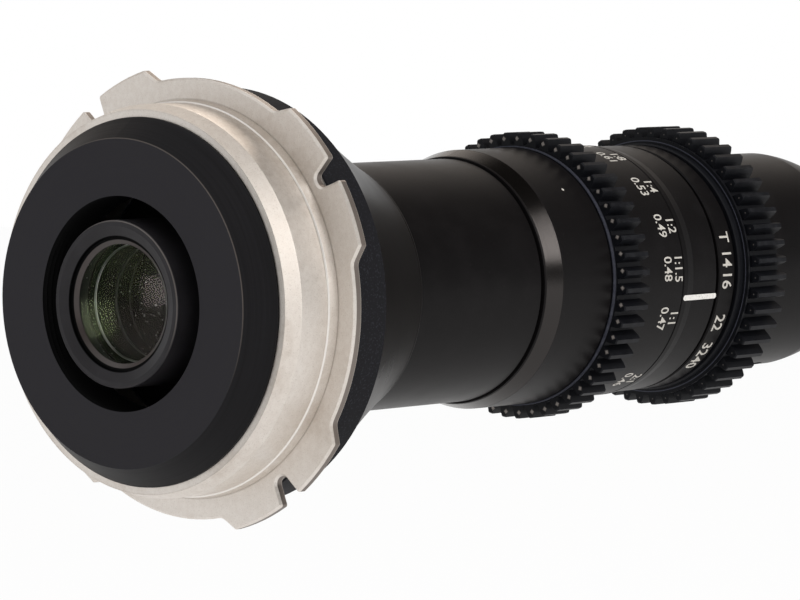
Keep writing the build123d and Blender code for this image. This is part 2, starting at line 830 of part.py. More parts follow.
def helical_slot(start_turn, end_turn):
    """A cutter for the slot that a pin at the top follows while the cam sleeve turns under it."""
    half_width = cam_pin_radius + run_gap
    inner = cam_bore_radius - overrun
    outer = cam_radius + overrun
    middle_radius = (cam_bore_radius + cam_radius) / 2
    start = cam_pin_station + lead_per_degree * start_turn
    height = lead_per_degree * (end_turn - start_turn)
    path = Helix(focus_lead, height, middle_radius, direction=(1, 0, 0), lefthand=True)
    origin = path @ 0
    radial = Vector(0, origin.Y, origin.Z).normalized()
    tangent = path % 0
    profile = Plane(origin, x_dir=radial, z_dir=tangent) * Rectangle(outer - inner, 2 * half_width)
    band = sweep(profile, path=path, is_frenet=True)
    path_angle = degrees(-acos(max(-1, min(1, radial.Z)))) if radial.Y > 0 else degrees(acos(radial.Z))
    band = Pos(start, 0, 0) * clocked(band, -start_turn - path_angle)
    rear_end = clocked(radial_rod(start, inner, outer, half_width), -start_turn)
    front_end = clocked(radial_rod(start + height, inner, outer, half_width), -end_turn)
    return band, rear_end, front_end


def focus_cam_sleeve():
    """Sleeve that turns with the focus ring; its helical slots drive the sliding group."""
    body = ring(sleeve_collar_front + end_gap, focus_front_station, cam_bore_radius, cam_radius)
    for cutter in helical_slot(focus_near_turn - cam_slot_margin_turn, focus_far_turn + cam_slot_margin_turn):
        body -= [clocked(cutter, angle) for angle in spaced(cam_pin_count, first_cam_pin_angle)]
    spare = degrees(end_gap / cam_radius)
    body -= arc_slot(
        stop_screw_station,
        stop_screw_radius + end_gap,
        cam_bore_radius - overrun,
        cam_radius + overrun,
        stop_screw_angle - focus_far_turn - spare,
        stop_screw_angle - focus_near_turn + spare,
    )
    hole = radial_rod(drive_screw_station, cam_bore_radius - overrun, cam_radius + overrun,
                      drive_screw_radius + seat_gap)
    return body - [clocked(hole, angle) for angle in spaced(drive_screw_count)]


def stop_screw():
    """Screw in the fixed sleeve whose end runs in the cam sleeve's stop slot."""
    inner = sleeve_bore_radius + stop_screw_recess
    rod = radial_rod(stop_screw_station, inner, cam_radius - stop_screw_recess, stop_screw_radius)
    return clocked(rod, stop_screw_angle)


def focus_ring():
    """Grip of the focus ring, with a wide rear bevel and the seats of the gear and the scale."""
    front = focus_front_station - face_gap
    body = turned(
        (focus_rear_station, focus_bore_radius),
        (front, focus_bore_radius),
        (front, focus_scale_seat_radius),
        (focus_scale_seat_station, focus_scale_seat_radius),
        (focus_scale_seat_station, focus_gear_seat_radius),
        (focus_gear_seat_station, focus_gear_seat_radius),
        (focus_gear_seat_station, focus_radius - edge_break),
        (focus_gear_seat_station - edge_break, focus_radius),
        (focus_rear_station + focus_bevel_length, focus_radius),
        (focus_rear_station, focus_rear_radius),
    )
    hole = radial_rod(drive_screw_station, cam_radius - overrun, focus_gear_seat_radius + overrun,
                      drive_screw_radius + seat_gap)
    return body - [clocked(hole, angle) for angle in spaced(drive_screw_count)]


def focus_drive_screws():
    """Screws under the gear that tie the focus ring to the cam sleeve."""
    inner = cam_bore_radius + drive_screw_recess
    outer = focus_gear_seat_radius - drive_screw_recess
    screw = radial_rod(drive_screw_station, inner, outer, drive_screw_radius)
    return around(screw, spaced(drive_screw_count))


def focus_scale_ring():
    """Ring that carries the distance scale."""
    start = focus_scale_seat_station + face_gap
    inner = focus_scale_seat_radius + seat_gap
    return ring(start, focus_front_station, inner, focus_scale_radius, edge_break, edge_break / 2)


def involute(angle):
    return tan(angle) - angle


def tooth_half_angle(radius):
    """Half the angle that an involute tooth spans at a radius, in degrees."""
    pressure = radians(gear_pressure_angle)
    base_radius = gear_pitch_radius * cos(pressure)
    half = pi / (2 * gear_teeth) + involute(pressure) - involute(acos(base_radius / radius))
    return degrees(half)


def toothed_ring(start, length, inner, first_angle):
    """A spur gear ring with involute flanks and bevelled tooth ends."""
    radii = (gear_root_radius, gear_pitch_radius, gear_tip_radius)
    points = []
    for angle in spaced(gear_teeth, first_angle):
        points += [polar(radius, angle - tooth_half_angle(radius)) for radius in radii]
        points += [polar(radius, angle + tooth_half_angle(radius)) for radius in reversed(radii)]
    outline = make_face(Polyline(*points, close=True)) - Circle(inner)
    teeth = plate(section(outline), start, start + length)
    envelope = ring(
        start, start + length, inner - overrun, gear_tip_radius + face_gap, gear_tip_bevel, gear_tip_bevel
    )
    return teeth & envelope


def focus_gear():
    """Focus gear ring with a thin rim behind its teeth."""
    inner = focus_gear_seat_radius + seat_gap
    rim_end = focus_gear_start + focus_gear_rim_length
    rim_radius = gear_root_radius - focus_gear_rim_drop
    rim = turned(
        (focus_gear_start, inner),
        (focus_tooth_start, inner),
        (focus_tooth_start, gear_root_radius - edge_break),
        (rim_end, rim_radius - edge_break),
        (rim_end, rim_radius),
        (focus_gear_start, rim_radius),
    )
    return rim + toothed_ring(focus_tooth_start, focus_tooth_length, inner, focus_tooth_angle)


def aperture_gear():
    """Aperture gear ring with a stepped lip and a raised rim behind its teeth."""
    inner = aperture_seat_radius + seat_gap
    lip_radius = gear_root_radius - aperture_gear_lip_drop
    rim_radius = gear_root_radius + aperture_gear_rim_height
    rim = turned(
        (aperture_gear_start, inner),
        (aperture_tooth_start, inner),
        (aperture_tooth_start, gear_root_radius - edge_break),
        (aperture_rim_end, gear_root_radius - edge_break),
        (aperture_rim_end, rim_radius - edge_break / 2),
        (aperture_rim_end - edge_break / 2, rim_radius),
        (aperture_lip_end, rim_radius),
        (aperture_lip_end, lip_radius),
        (aperture_gear_start + edge_break, lip_radius),
        (aperture_gear_start, lip_radius - edge_break),
    )
    return rim + toothed_ring(aperture_tooth_start, aperture_tooth_length, inner, aperture_tooth_angle)


def index_ring():
    """Fixed ring between the two turning rings; it carries the index line."""
    taper_start = index_rear_station + index_taper_start
    return turned(
        (index_rear_station, sleeve_seat_radius),
        (index_front_station, sleeve_seat_radius),
        (index_front_station, index_radius - edge_break),
        (index_front_station - edge_break, index_radius),
        (taper_start + index_taper_length, index_radius),
        (taper_start, focus_scale_radius),
        (index_rear_station + edge_break / 2, focus_scale_radius),
        (index_rear_station, focus_scale_radius - edge_break / 2),
    )


def aperture_ring():
    """Aperture ring: a neck, the scale band, a groove, and the seat of the gear."""
    body = turned(
        (aperture_rear_station, ring_bore_radius),
        (aperture_front_station, ring_bore_radius),
        (aperture_front_station, aperture_seat_radius),
        (aperture_groove_end, aperture_seat_radius),
        (aperture_groove_end, aperture_groove_radius),
        (aperture_scale_end, aperture_groove_radius),
        (aperture_scale_end, aperture_scale_radius - edge_break),
        (aperture_scale_end - edge_break, aperture_scale_radius),
        (aperture_scale_start + edge_break, aperture_scale_radius),
        (aperture_scale_start, aperture_scale_radius - edge_break),
        (aperture_scale_start, aperture_scale_radius - aperture_neck_step),
        (aperture_rear_station, aperture_scale_radius - aperture_neck_step),
    )
    hole = radial_rod(rotor_middle, ring_bore_radius - overrun, aperture_seat_radius + overrun,
                      aperture_pin_radius + seat_gap)
    return body - clocked(hole, aperture_pin_angle)


def focus_carrier():
    """Sliding cell of the focus group: two lands run in the sleeve, with a waist between them."""
    front = carrier_rear_station + carrier_length
    land_end = front - carrier_land_length
    pin_land_end = cam_pin_station + carrier_land_length
    lip_start = carrier_rear_station + focus_element_thickness + focus_element_sag
    lip_end = front - focus_element_thickness - focus_element_sag
    body = turned(
        (carrier_rear_station, carrier_bore_radius),
        (lip_start, carrier_bore_radius),
        (lip_start, carrier_lip_radius),
        (lip_end, carrier_lip_radius),
        (lip_end, carrier_bore_radius),
        (front, carrier_bore_radius),
        (front, carrier_radius),
        (land_end, carrier_radius),
        (land_end, carrier_waist_radius),
        (pin_land_end, carrier_waist_radius),
        (pin_land_end, carrier_radius),
        (carrier_rear_station, carrier_radius),
    )
    inner = carrier_radius - cam_pin_depth
    hole = radial_rod(cam_pin_station, inner, sleeve_bore_radius, cam_pin_radius + seat_gap)
    return body - [clocked(hole, angle) for angle in spaced(cam_pin_count, first_cam_pin_angle)]


def cam_pins():
    """Pins that ride in the straight and helical slots at once."""
    inner = carrier_radius - cam_pin_depth + face_gap
    rod = radial_rod(cam_pin_station, inner, cam_radius - cam_pin_recess, cam_pin_radius)
    return around(rod, spaced(cam_pin_count, first_cam_pin_angle))


def focus_seat_rise():
    """How far a glass of the sliding group bulges past its edge at the carrier's lip."""
    return bulge(focus_element_sag, focus_element_radius, carrier_lip_radius)


def focus_rear_element():
    """Rear glass of the sliding group."""
    lip_start = carrier_rear_station + focus_element_thickness + focus_element_sag
    front = lip_start - face_gap - focus_seat_rise() + focus_element_sag
    return element(
        front - focus_element_thickness, front, focus_element_radius, focus_element_sag, -focus_element_sag
    )


def focus_front_element():
    """Front glass of the sliding group."""
    lip_end = carrier_rear_station + carrier_length - focus_element_thickness - focus_element_sag
    rear = lip_end + face_gap + focus_seat_rise() - focus_element_sag
    front = rear + focus_element_thickness
    return element(rear, front, focus_element_radius, focus_element_sag, -focus_element_sag)


def iris_base():
    """Cup of the iris: the plate that holds the blade pivots, and the wall round the rotor."""
    outer = sleeve_bore_radius - seat_gap
    body = turned(
        (iris_station, iris_bore_radius),
        (iris_plate_front, iris_bore_radius),
        (iris_plate_front, iris_wall_radius),
        (iris_plate_front + iris_wall_length, iris_wall_radius),
        (iris_plate_front + iris_wall_length, outer),
        (iris_station, outer),
    )
    hole = Pos(iris_station, 0, pivot_circle_radius) * Rot(0, 90, 0) * Cylinder(
        pivot_pin_radius + seat_gap, 2 * iris_plate_thickness + 2 * overrun
    )
    body -= [clocked(hole, angle) for angle in spaced(blade_count, first_blade_angle)]
    return body - iris_pin_slot(iris_wall_radius - seat_gap, outer + overrun)


def iris_cover():
    """Ring that closes the front of the iris."""
    start = rotor_start + rotor_thickness + end_gap
    return ring(start, start + iris_cover_thickness, iris_bore_radius, iris_wall_radius - seat_gap)


def drive_pin_place(turn):
    """Place of a blade's drive pin, for the blade at the top, at a turn of the aperture ring from rest."""
    swing = radians(blade_ratio * (turn - aperture_open_turn))
    pivot = polar(pivot_circle_radius, 0)
    open_place = polar(pivot_circle_radius, drive_pin_angle)
    across = open_place[0] - pivot[0]
    along = open_place[1] - pivot[1]
    return (
        pivot[0] + across * cos(swing) - along * sin(swing),
        pivot[1] + across * sin(swing) + along * cos(swing),
    )


def rotor_slot_outline():
    """The slot that a drive pin needs in the rotor, so that blade and ring turn in a constant ratio."""
    spare = degrees(run_gap / pivot_circle_radius)
    first = aperture_closed_turn - spare
    last = aperture_open_turn + spare
    points = []
    for sample in range(rotor_slot_points):
        turn = first + (last - first) * sample / (rotor_slot_points - 1)
        across, along = drive_pin_place(turn)
        back = radians(-turn)
        points.append((across * cos(back) - along * sin(back), across * sin(back) + along * cos(back)))
    width = 2 * (drive_pin_radius + run_gap)
    track = Spline(*points)
    ends = Pos(*points[0]) * Circle(width / 2) + Pos(*points[-1]) * Circle(width / 2)
    return trace(track, line_width=width) + ends


def iris_rotor():
    """Slotted ring that swings the blades; it turns with the aperture ring."""
    outline = Circle(rotor_radius) - Circle(iris_bore_radius)
    for angle in spaced(blade_count, first_blade_angle):
        outline -= Rot(0, 0, angle) * rotor_slot_outline()
    body = plate(section(outline), rotor_start, rotor_start + rotor_thickness)
    inner = rotor_radius - aperture_pin_depth
    hole = radial_rod(rotor_middle, inner, rotor_radius + overrun, aperture_pin_radius + seat_gap)
    return body - clocked(hole, aperture_pin_angle)


def aperture_pin():
    """Pin that ties the aperture ring to the iris rotor through the sleeve's curved slot."""
    inner = rotor_radius - aperture_pin_depth + face_gap
    rod = radial_rod(rotor_middle, inner, aperture_seat_radius - drive_screw_recess, aperture_pin_radius)
    return clocked(rod, aperture_pin_angle)


def arc_sector(inner, outer, start_angle, end_angle):
    """A flat sector of a ring between two clock angles."""
    middle = (start_angle + end_angle) / 2
    edges = [
        ThreePointArc(polar(inner, start_angle), polar(inner, middle), polar(inner, end_angle)),
        Line(polar(inner, end_angle), polar(outer, end_angle)),
        ThreePointArc(polar(outer, end_angle), polar(outer, middle), polar(outer, start_angle)),
        Line(polar(outer, start_angle), polar(inner, start_angle)),
    ]
    return make_face(edges)


def iris_blade(number):
    """One iris blade with its pivot pin and its drive pin, at rest; each blade lies on its own level."""
    strip = arc_sector(blade_open_radius, blade_outer_radius, -blade_tail_angle, blade_neck_angle)
    tail = Pos(*polar((blade_open_radius + blade_outer_radius) / 2, -blade_tail_angle)) * Circle(
        (blade_outer_radius - blade_open_radius) / 2
    )
    neck = arc_sector(blade_open_radius, pivot_circle_radius, -blade_neck_angle, blade_neck_angle)
    pivot = polar(pivot_circle_radius, 0)
    drive = polar(pivot_circle_radius, drive_pin_angle)
    reach = hypot(drive[0] - pivot[0], drive[1] - pivot[1])
    lean = drive_pin_angle / 2
    middle = ((pivot[0] + drive[0]) / 2, (pivot[1] + drive[1]) / 2)
    arm = Pos(*middle) * Rot(0, 0, lean) * SlotCenterToCenter(reach, 2 * blade_arm_radius)
    start = iris_plate_front + face_gap + number * blade_pitch
    flat = plate(section(strip + tail + neck + arm), start, start + blade_thickness)
    pivot_rear = iris_station + pivot_pin_recess
    drive_front = rotor_start + rotor_thickness - drive_pin_recess
    pivot_pin = plate(section(Pos(*pivot) * Circle(pivot_pin_radius)), pivot_rear, start + blade_thickness)
    drive_pin = plate(section(Pos(*drive) * Circle(drive_pin_radius)), start, drive_front)
    blade = flat + pivot_pin + drive_pin
    rest_swing = -blade_ratio * aperture_open_turn
    to_pivot = Pos(0, 0, pivot_circle_radius)
    blade = to_pivot * Rot(rest_swing, 0, 0) * to_pivot.inverse() * blade
    return clocked(blade, spaced(blade_count, first_blade_angle)[number])


def front_housing():
    """Front collar with its rounded shoulder and the cone that runs down to the probe."""
    sleeve_end = sleeve_front_station + face_gap
    seat_end = sleeve_end + relay_seat_length
    bore = [
        (shoulder_arc_end, housing_radius - shoulder_arc_drop),
        (housing_front_station - housing_front_bevel, housing_front_radius),
        (housing_front_station, housing_front_radius - housing_front_bevel),
        (housing_front_station, probe_radius + seat_gap),
        (probe_socket_station, probe_radius + seat_gap),
        (probe_socket_station - housing_throat_length, housing_bore_radius),
        (seat_end, housing_bore_radius),
        (seat_end, relay_seat_radius),
        (sleeve_end, relay_seat_radius),
        (sleeve_end, sleeve_seat_radius),
        (housing_rear_station, sleeve_seat_radius),
        (housing_rear_station, housing_radius - edge_break),
        (housing_rear_station + edge_break, housing_radius),
        (shoulder_arc_start, housing_radius),
    ]
    rest = Polyline(*[(station, 0, radius) for station, radius in bore])
    middle_station = (shoulder_arc_start + shoulder_arc_end) / 2
    middle = (middle_station, 0, housing_radius - shoulder_arc_middle_drop)
    shoulder = ThreePointArc(rest @ 1, middle, rest @ 0)
    body = revolve(make_face([rest, shoulder]), Axis.X)
    return body - socket_block(seat_gap, housing_radius + overrun, relay_radius + overrun)


def socket_block(clearance, mouth, floor):
    """The socket's rounded block, grown by a clearance, below the axis between two depths."""
    width = socket_width + 2 * clearance
    thickness = socket_thickness + 2 * clearance
    outline = RectangleRounded(thickness, width, socket_corner_radius + clearance)
    return Pos(socket_station, 0, -mouth) * extrude(outline, mouth - floor)


def power_socket():
    """Charging socket under the collar: a metal shell round an open mouth, with a contact tongue inside."""
    floor = socket_mouth_depth - socket_depth
    shell = socket_block(0, socket_mouth_depth, floor)
    cavity_floor = floor + socket_floor_thickness
    cavity = socket_block(-socket_wall, socket_mouth_depth + overrun, cavity_floor)
    tongue_depth = socket_mouth_depth - socket_tongue_recess - cavity_floor
    tongue = Pos(socket_station, 0, -cavity_floor - tongue_depth / 2) * Box(
        socket_tongue_thickness, socket_tongue_width, tongue_depth + face_gap
    )
    return shell - cavity + tongue


def relay_tube():
    """Inner optical tube, flanged at the rear, with a flat along its underside for the light cable."""
    flange_front = relay_rear_station + relay_flange_length
    body = turned(
        (relay_rear_station, relay_bore_radius),
        (relay_front_station, relay_bore_radius),
        (relay_front_station, relay_radius),
        (flange_front, relay_radius),
        (flange_front, relay_flange_radius),
        (relay_rear_station, relay_flange_radius),
    )
    length = relay_front_station - flange_front
    flat = Pos(flange_front + length / 2 + overrun / 2, 0, -relay_radius) * Box(
        length + overrun, 2 * relay_radius, 2 * relay_flat_depth
    )
    return body - flat


def relay_lens_stations():
    """Middle stations of the relay lenses, from the front one back."""
    step = (relay_first_lens_station - relay_last_lens_station) / (relay_lens_count - 1)
    return [relay_first_lens_station - step * lens for lens in range(relay_lens_count)]


def relay_lens(middle):
    """One relay lens, bulging both ways."""
    half = relay_lens_thickness / 2
    return element(middle - half, middle + half, relay_lens_radius, relay_lens_sag, -relay_lens_sag)


def relay_seat_reach():
    """Distance from the middle of a relay lens to the rings that hold it."""
    rise = bulge(relay_lens_sag, relay_lens_radius, relay_lens_radius - relay_spacer_wall)
    return relay_lens_thickness / 2 - relay_lens_sag + rise + face_gap


def relay_spacers():
    """Tubes that hold the relay lenses apart."""
    inner = relay_lens_radius - relay_spacer_wall
    stations = relay_lens_stations()
    reach = relay_seat_reach()
    tubes = []
    for front, rear in zip(stations, stations[1:]):
        tubes.append(ring(rear + reach, front - reach, inner, relay_lens_radius))
    return Compound(children=tubes)


def relay_retainers():
    """Threaded rings at both ends of the relay."""
    outer = relay_lens_radius
    inner = outer - relay_spacer_wall
    reach = relay_seat_reach()
    front = relay_first_lens_station + reach
    rear = relay_last_lens_station - reach
    front_ring = ring(front, front + relay_retainer_length, inner, outer)
    rear_ring = ring(rear - relay_retainer_length, rear, inner, outer)
    return Compound(children=[front_ring, rear_ring])


def probe_tube():
    """Outer tube of the probe."""
    bevel = edge_break / 2
    return ring(probe_rear_station, probe_front_station, probe_bore_radius, probe_radius, front_bevel=bevel)


def flex_channel():
    """A cutter that lets the light cable pass the tip's spigot and floor."""
    width = flex_width + 2 * flex_channel_clearance
    top = tip_bore_radius - flex_channel_clearance
    bottom = flex_top + flex_thickness + flex_channel_clearance / 2
    start = tip_spigot_station - overrun
    end = tip_floor_front + overrun
    return Pos((start + end) / 2, 0, -(top + bottom) / 2) * Box(end - start, width, bottom - top)


def tip_housing():
    """Probe tip: a sealed spigot in the tube, a floor for the lights and an open rim."""
    groove_floor = tip_spigot_radius - 2 * seal_section_radius
    groove_rear = seal_station - seal_groove_width / 2
    groove_front = seal_station + seal_groove_width / 2
    shoulder = probe_front_station + face_gap
    floor_bore = objective_nose_radius + seat_gap
    body = turned(
        (tip_spigot_station, tip_bore_radius),
        (tip_floor_station, tip_bore_radius),
        (tip_floor_station, floor_bore),
        (tip_floor_front, floor_bore),
        (tip_floor_front, tip_rim_bore_radius),
        (front_station, tip_rim_bore_radius),
        (front_station, probe_radius - tip_front_bevel),
        (front_station - tip_front_bevel, probe_radius),
        (shoulder + edge_break / 2, probe_radius),
        (shoulder, probe_radius - edge_break / 2),
        (shoulder, tip_spigot_radius),
        (groove_front, tip_spigot_radius),
        (groove_front, groove_floor),
        (groove_rear, groove_floor),
        (groove_rear, tip_spigot_radius),
        (tip_spigot_station, tip_spigot_radius),
    )
    return body - flex_channel()


def tip_seal():
    """Seal ring in the groove of the tip's spigot, with an eight-sided section."""
    centre = tip_spigot_radius - seal_section_radius
    outline = RegularPolygon(seal_section_radius - face_gap / 2, seal_section_sides)
    return revolve(Plane.XZ * Pos(seal_station, centre) * outline, Axis.X)


def objective_cell():
    """Cell of the front group, with a nose through the floor of the tip."""
    return turned(
        (objective_rear_station, objective_bore_radius),
        (objective_bore_front_station, objective_bore_radius),
        (objective_bore_front_station, objective_light_radius),
        (objective_window_station, objective_light_radius),
        (objective_window_station, objective_window_radius),
        (objective_nose_front_station, objective_window_radius),
        (objective_nose_front_station, objective_nose_radius - edge_break),
        (objective_nose_front_station - edge_break, objective_nose_radius),
        (tip_floor_station - face_gap, objective_nose_radius),
        (tip_floor_station - face_gap, objective_cell_radius),
        (objective_rear_station, objective_cell_radius),
    )


def objective_lens_1():
    """Front lens, hollow towards the probe and seated behind the window."""
    front = objective_bore_front_station - face_gap
    rear = front - objective_lens_1_thickness
    back = lens_face(rear + objective_lens_1_sag, -objective_lens_1_sag, objective_lens_radius)
    rim = Line(back @ 1, (front, 0, objective_lens_radius))
    face = Line(rim @ 1, (front, 0, 0))
    core = Line(face @ 1, back @ 0)
    return revolve(make_face([back, rim, face, core]), Axis.X)


def objective_lens_2():
    """Second lens of the front group, bulging both ways."""
    half = objective_lens_2_thickness / 2
    rear = objective_lens_2_station - half
    front = objective_lens_2_station + half
    return element(rear, front, objective_lens_radius, objective_lens_2_sag, -objective_lens_2_sag)


def objective_seat_reach():
    """Distance from the middle of the second front lens to the rings that hold it."""
    rise = bulge(objective_lens_2_sag, objective_lens_radius, objective_lens_radius - objective_spacer_wall)
    return objective_lens_2_thickness / 2 - objective_lens_2_sag + rise + face_gap


def objective_spacer():
    """Spacer between the two lenses of the front group."""
    start = objective_lens_2_station + objective_seat_reach()
    end = objective_bore_front_station - objective_lens_1_thickness - 2 * face_gap
    return ring(start, end, objective_lens_radius - objective_spacer_wall, objective_lens_radius)


def objective_retainer():
    """Ring that closes the rear of the front group."""
    end = objective_lens_2_station - objective_seat_reach()
    inner = objective_lens_radius - objective_spacer_wall
    return ring(end - objective_retainer_length, end, inner, objective_lens_radius)


def front_window():
    """Flat sealing glass at the tip."""
    start = objective_window_station + face_gap
    return ring(start, start + window_thickness, 0, objective_window_radius - seat_gap)


def window_retainer():
    """Slim ring that holds the front window."""
    start = objective_window_station + 2 * face_gap + window_thickness
    outer = objective_window_radius - seat_gap
    return ring(start, start + window_retainer_length, outer - window_retainer_wall, outer)


def led_board():
    """Ring-shaped circuit board on the floor of the tip."""
    start = tip_floor_front + face_gap
    inner = objective_nose_radius + run_gap
    return ring(start, start + led_board_thickness, inner, tip_rim_bore_radius - run_gap)


def leds():
    """Light-emitting diodes on the board."""
    start = tip_floor_front + 2 * face_gap + led_board_thickness
    chip = Pos(start + led_height / 2, 0, led_circle_radius) * Box(led_height, led_width, led_depth)
    return around(chip, spaced(led_count))


def diffuser_ring():
    """Translucent ring over the lights."""
    start = diffuser_front_station - diffuser_thickness
    inner = objective_nose_radius + seat_gap
    return ring(start, diffuser_front_station, inner, tip_rim_bore_radius - seat_gap)


def led_flex():
    """Flat cable from the power socket along the relay tube to the lights."""
    length = tip_floor_front - flex_rear_station
    run = Pos(flex_rear_station + length / 2, 0, -flex_top - flex_thickness / 2) * Box(
        length, flex_width, flex_thickness
    )
    bottom = socket_mouth_depth - socket_depth - face_gap
    drop = bottom - flex_top
    down = Pos(flex_rear_station + flex_thickness / 2, 0, -flex_top - drop / 2) * Box(
        flex_thickness, flex_width, drop
    )
    foot_length = flex_foot_length + socket_thickness
    foot = Pos(flex_rear_station + foot_length / 2, 0, flex_thickness / 2 - bottom) * Box(
        foot_length, flex_width, flex_thickness
    )
    return run + down + foot


PARTS = {
    "mount_flange": mount_flange,
    "mount_shim": mount_shim,
    "mount_screws": mount_screws,
    "mount_adapter": mount_adapter,
    "rear_baffle": rear_baffle,
    "rear_cell": rear_cell,
    "rear_lock_ring": rear_lock_ring,
    "rear_retainer": rear_retainer,
    "rear_element": rear_element,
    "rear_spacer": rear_spacer,
    "rear_inner_element": rear_inner_element,
    "main_sleeve": main_sleeve,
    "rear_barrel": rear_barrel,
    "stop_screw": stop_screw,
    "index_ring": index_ring,
    "front_housing": front_housing,
    "power_socket": power_socket,
    "relay_tube": relay_tube,
    "relay_spacers": relay_spacers,
    "relay_retainers": relay_retainers,
    "probe_tube": probe_tube,
    "tip_housing": tip_housing,
    "tip_seal": tip_seal,
    "objective_cell": objective_cell,
    "objective_lens_1": objective_lens_1,
    "objective_lens_2": objective_lens_2,
    "objective_spacer": objective_spacer,
    "objective_retainer": objective_retainer,
    "front_window": front_window,
    "window_retainer": window_retainer,
    "led_board": led_board,
    "leds": leds,
    "diffuser_ring": diffuser_ring,
    "led_flex": led_flex,
    "iris_base": iris_base,
    "iris_cover": iris_cover,
    "focus_ring": focus_ring,
    "focus_gear": focus_gear,
    "focus_scale_ring": focus_scale_ring,
    "focus_cam_sleeve": focus_cam_sleeve,
    "focus_drive_screws": focus_drive_screws,
    "focus_carrier": focus_carrier,
    "cam_pins": cam_pins,
    "focus_rear_element": focus_rear_element,
    "focus_front_element": focus_front_element,
    "aperture_ring": aperture_ring,
    "aperture_gear": aperture_gear,
    "iris_rotor": iris_rotor,
    "aperture_pin": aperture_pin,
}

for name, build in PARTS.items():
    export_step(build(), f"parts/{name}.step")

for lens, middle in enumerate(relay_lens_stations(), start=1):
    export_step(relay_lens(middle), f"parts/relay_lens_{lens}.step")

for number in range(blade_count):
    export_step(iris_blade(number), f"parts/iris_blade_{number + 1}.step")
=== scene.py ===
from math import asin, cos, pi, radians, sin

import bmesh
import bpy
from bpy.props import FloatProperty, FloatVectorProperty, PointerProperty
from bpy.types import Operator, Panel, PropertyGroup
from mathutils import Matrix, Vector


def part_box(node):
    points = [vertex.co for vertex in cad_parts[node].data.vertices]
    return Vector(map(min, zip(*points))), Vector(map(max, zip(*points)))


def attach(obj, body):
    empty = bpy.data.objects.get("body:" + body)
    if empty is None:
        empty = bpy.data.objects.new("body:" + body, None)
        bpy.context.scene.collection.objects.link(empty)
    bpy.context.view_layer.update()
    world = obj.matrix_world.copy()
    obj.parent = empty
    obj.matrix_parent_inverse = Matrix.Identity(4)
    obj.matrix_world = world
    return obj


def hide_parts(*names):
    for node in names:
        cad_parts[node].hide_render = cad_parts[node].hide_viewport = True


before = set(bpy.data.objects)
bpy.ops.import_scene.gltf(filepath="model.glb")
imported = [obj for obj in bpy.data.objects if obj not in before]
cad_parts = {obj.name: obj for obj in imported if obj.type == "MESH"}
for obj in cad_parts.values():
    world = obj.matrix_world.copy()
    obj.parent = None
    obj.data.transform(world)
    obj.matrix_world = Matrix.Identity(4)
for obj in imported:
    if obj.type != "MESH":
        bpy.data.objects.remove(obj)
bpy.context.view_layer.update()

bl_info = {
    "name": "Macro probe lens",
    "version": (1, 0, 0),
    "blender": (4, 5, 0),
    "location": "3D View > Sidebar > Lens",
    "description": "Finishes, engraved scales and studio of a macro probe cinema lens",
    "category": "Object",
}

MM = 0.001

# Edges of the frame's pieces that the finishes follow: stations along the optical axis, and radii.
# A pair that a fade reads runs from where the finish starts to where it is full.

SPIGOT = (-6.6 * MM, -0.1 * MM)
LEAD_CONE = (-6.70 * MM, -6.95 * MM)
LEAD_CONE_RADIUS = (26.0 * MM, 26.2 * MM)
ROOT_STEP = (-1.74 * MM, -1.50 * MM)
ROOT_STEP_RADIUS = (27.01 * MM, 27.06 * MM)
ROOT_CORNER = (-0.16 * MM, -0.04 * MM)
ROOT_CORNER_RADIUS = (27.40 * MM, 27.60 * MM)
FLANGE_SIDE = (0.34 * MM, 1.22 * MM)
FLANGE_SIDE_RADIUS = (27.6 * MM, 27.9 * MM)
ADAPTER_RIM = (8.4 * MM, 8.1 * MM)
BAFFLE_SLOPE_RADIUS = (22.45 * MM, 22.55 * MM)
BAFFLE_EDGE_RADIUS = (22.42 * MM, 22.54 * MM)
BAFFLE_BORE = (-13.57 * MM, -13.48 * MM)
BAFFLE_BORE_RADIUS = (15.4 * MM, 15.2 * MM)
FOCUS_BEVEL = (0.32 * MM, 3.05 * MM)  # from the focus ring's rear end
GEAR_TEETH = 51.0
GEAR_TIP_RADIUS = (20.55 * MM, 21.2 * MM)
# Radius of the painted highlight dots on the gear teeth.
GEAR_GLINT_RADIUS = 20.3 * MM
GEAR_PITCH_RADIUS = 20.0 * MM
GEAR_RIM_RADIUS = (19.06 * MM, 19.20 * MM)
FOCUS_GEAR_START = 70.7 * MM
APERTURE_GEAR_START = 102.6 * MM
CELL_EDGE_RADIUS = 11.33 * MM
CELL_HOLLOW_RADIUS = 9.30 * MM
SPACER_BORE = 7.9 * MM

# Places of the marks. Turns are degrees from the top towards the scale side, and widths are shares of the
# figures' own width.

DISTANCE_FROM_FRONT = 2.5 * MM
DISTANCE_WIDTH = 0.86
STOP_FROM_REAR = 2.35 * MM
STOP_WIDTH = 0.9
FONT_SIZE = 1.37  # of the built-in font, as a share of the height of its figures
FIGURE_BOLDNESS = 0.012
INDEX_TURN = 102.8
DOT_STATION = 65.2 * MM
DOT_TURN = 47.9

# The photograph's view, fitted to the turned edges

VIEW_PLACE = (-518.4 * MM, -484.4 * MM, 25.4 * MM)
VIEW_RIGHT = (0.651, -0.7584, -0.0321)
VIEW_BACK = (-0.7575, -0.6518, 0.0373)
FOCAL_LENGTH = 232.2
SENSOR_WIDTH = 36.0

# How many flats a turned piece has round the axis

GLASS_STEPS = 96
RING_STEPS = 128

WHITE = (1.0, 1.0, 1.0, 1.0)
DUST = (0.06, 0.057, 0.054)


# Sizes and colours that a user would change

def length(name, description, millimetres):
    """A length setting, given in millimetres."""
    return FloatProperty(
        name=name, description=description, default=millimetres * MM, min=0.0, precision=5, unit="LENGTH"
    )


def tint(name, description, colour):
    """A colour setting."""
    return FloatVectorProperty(
        name=name, description=description, default=colour, size=3, min=0.0, max=1.0, subtype="COLOR"
    )


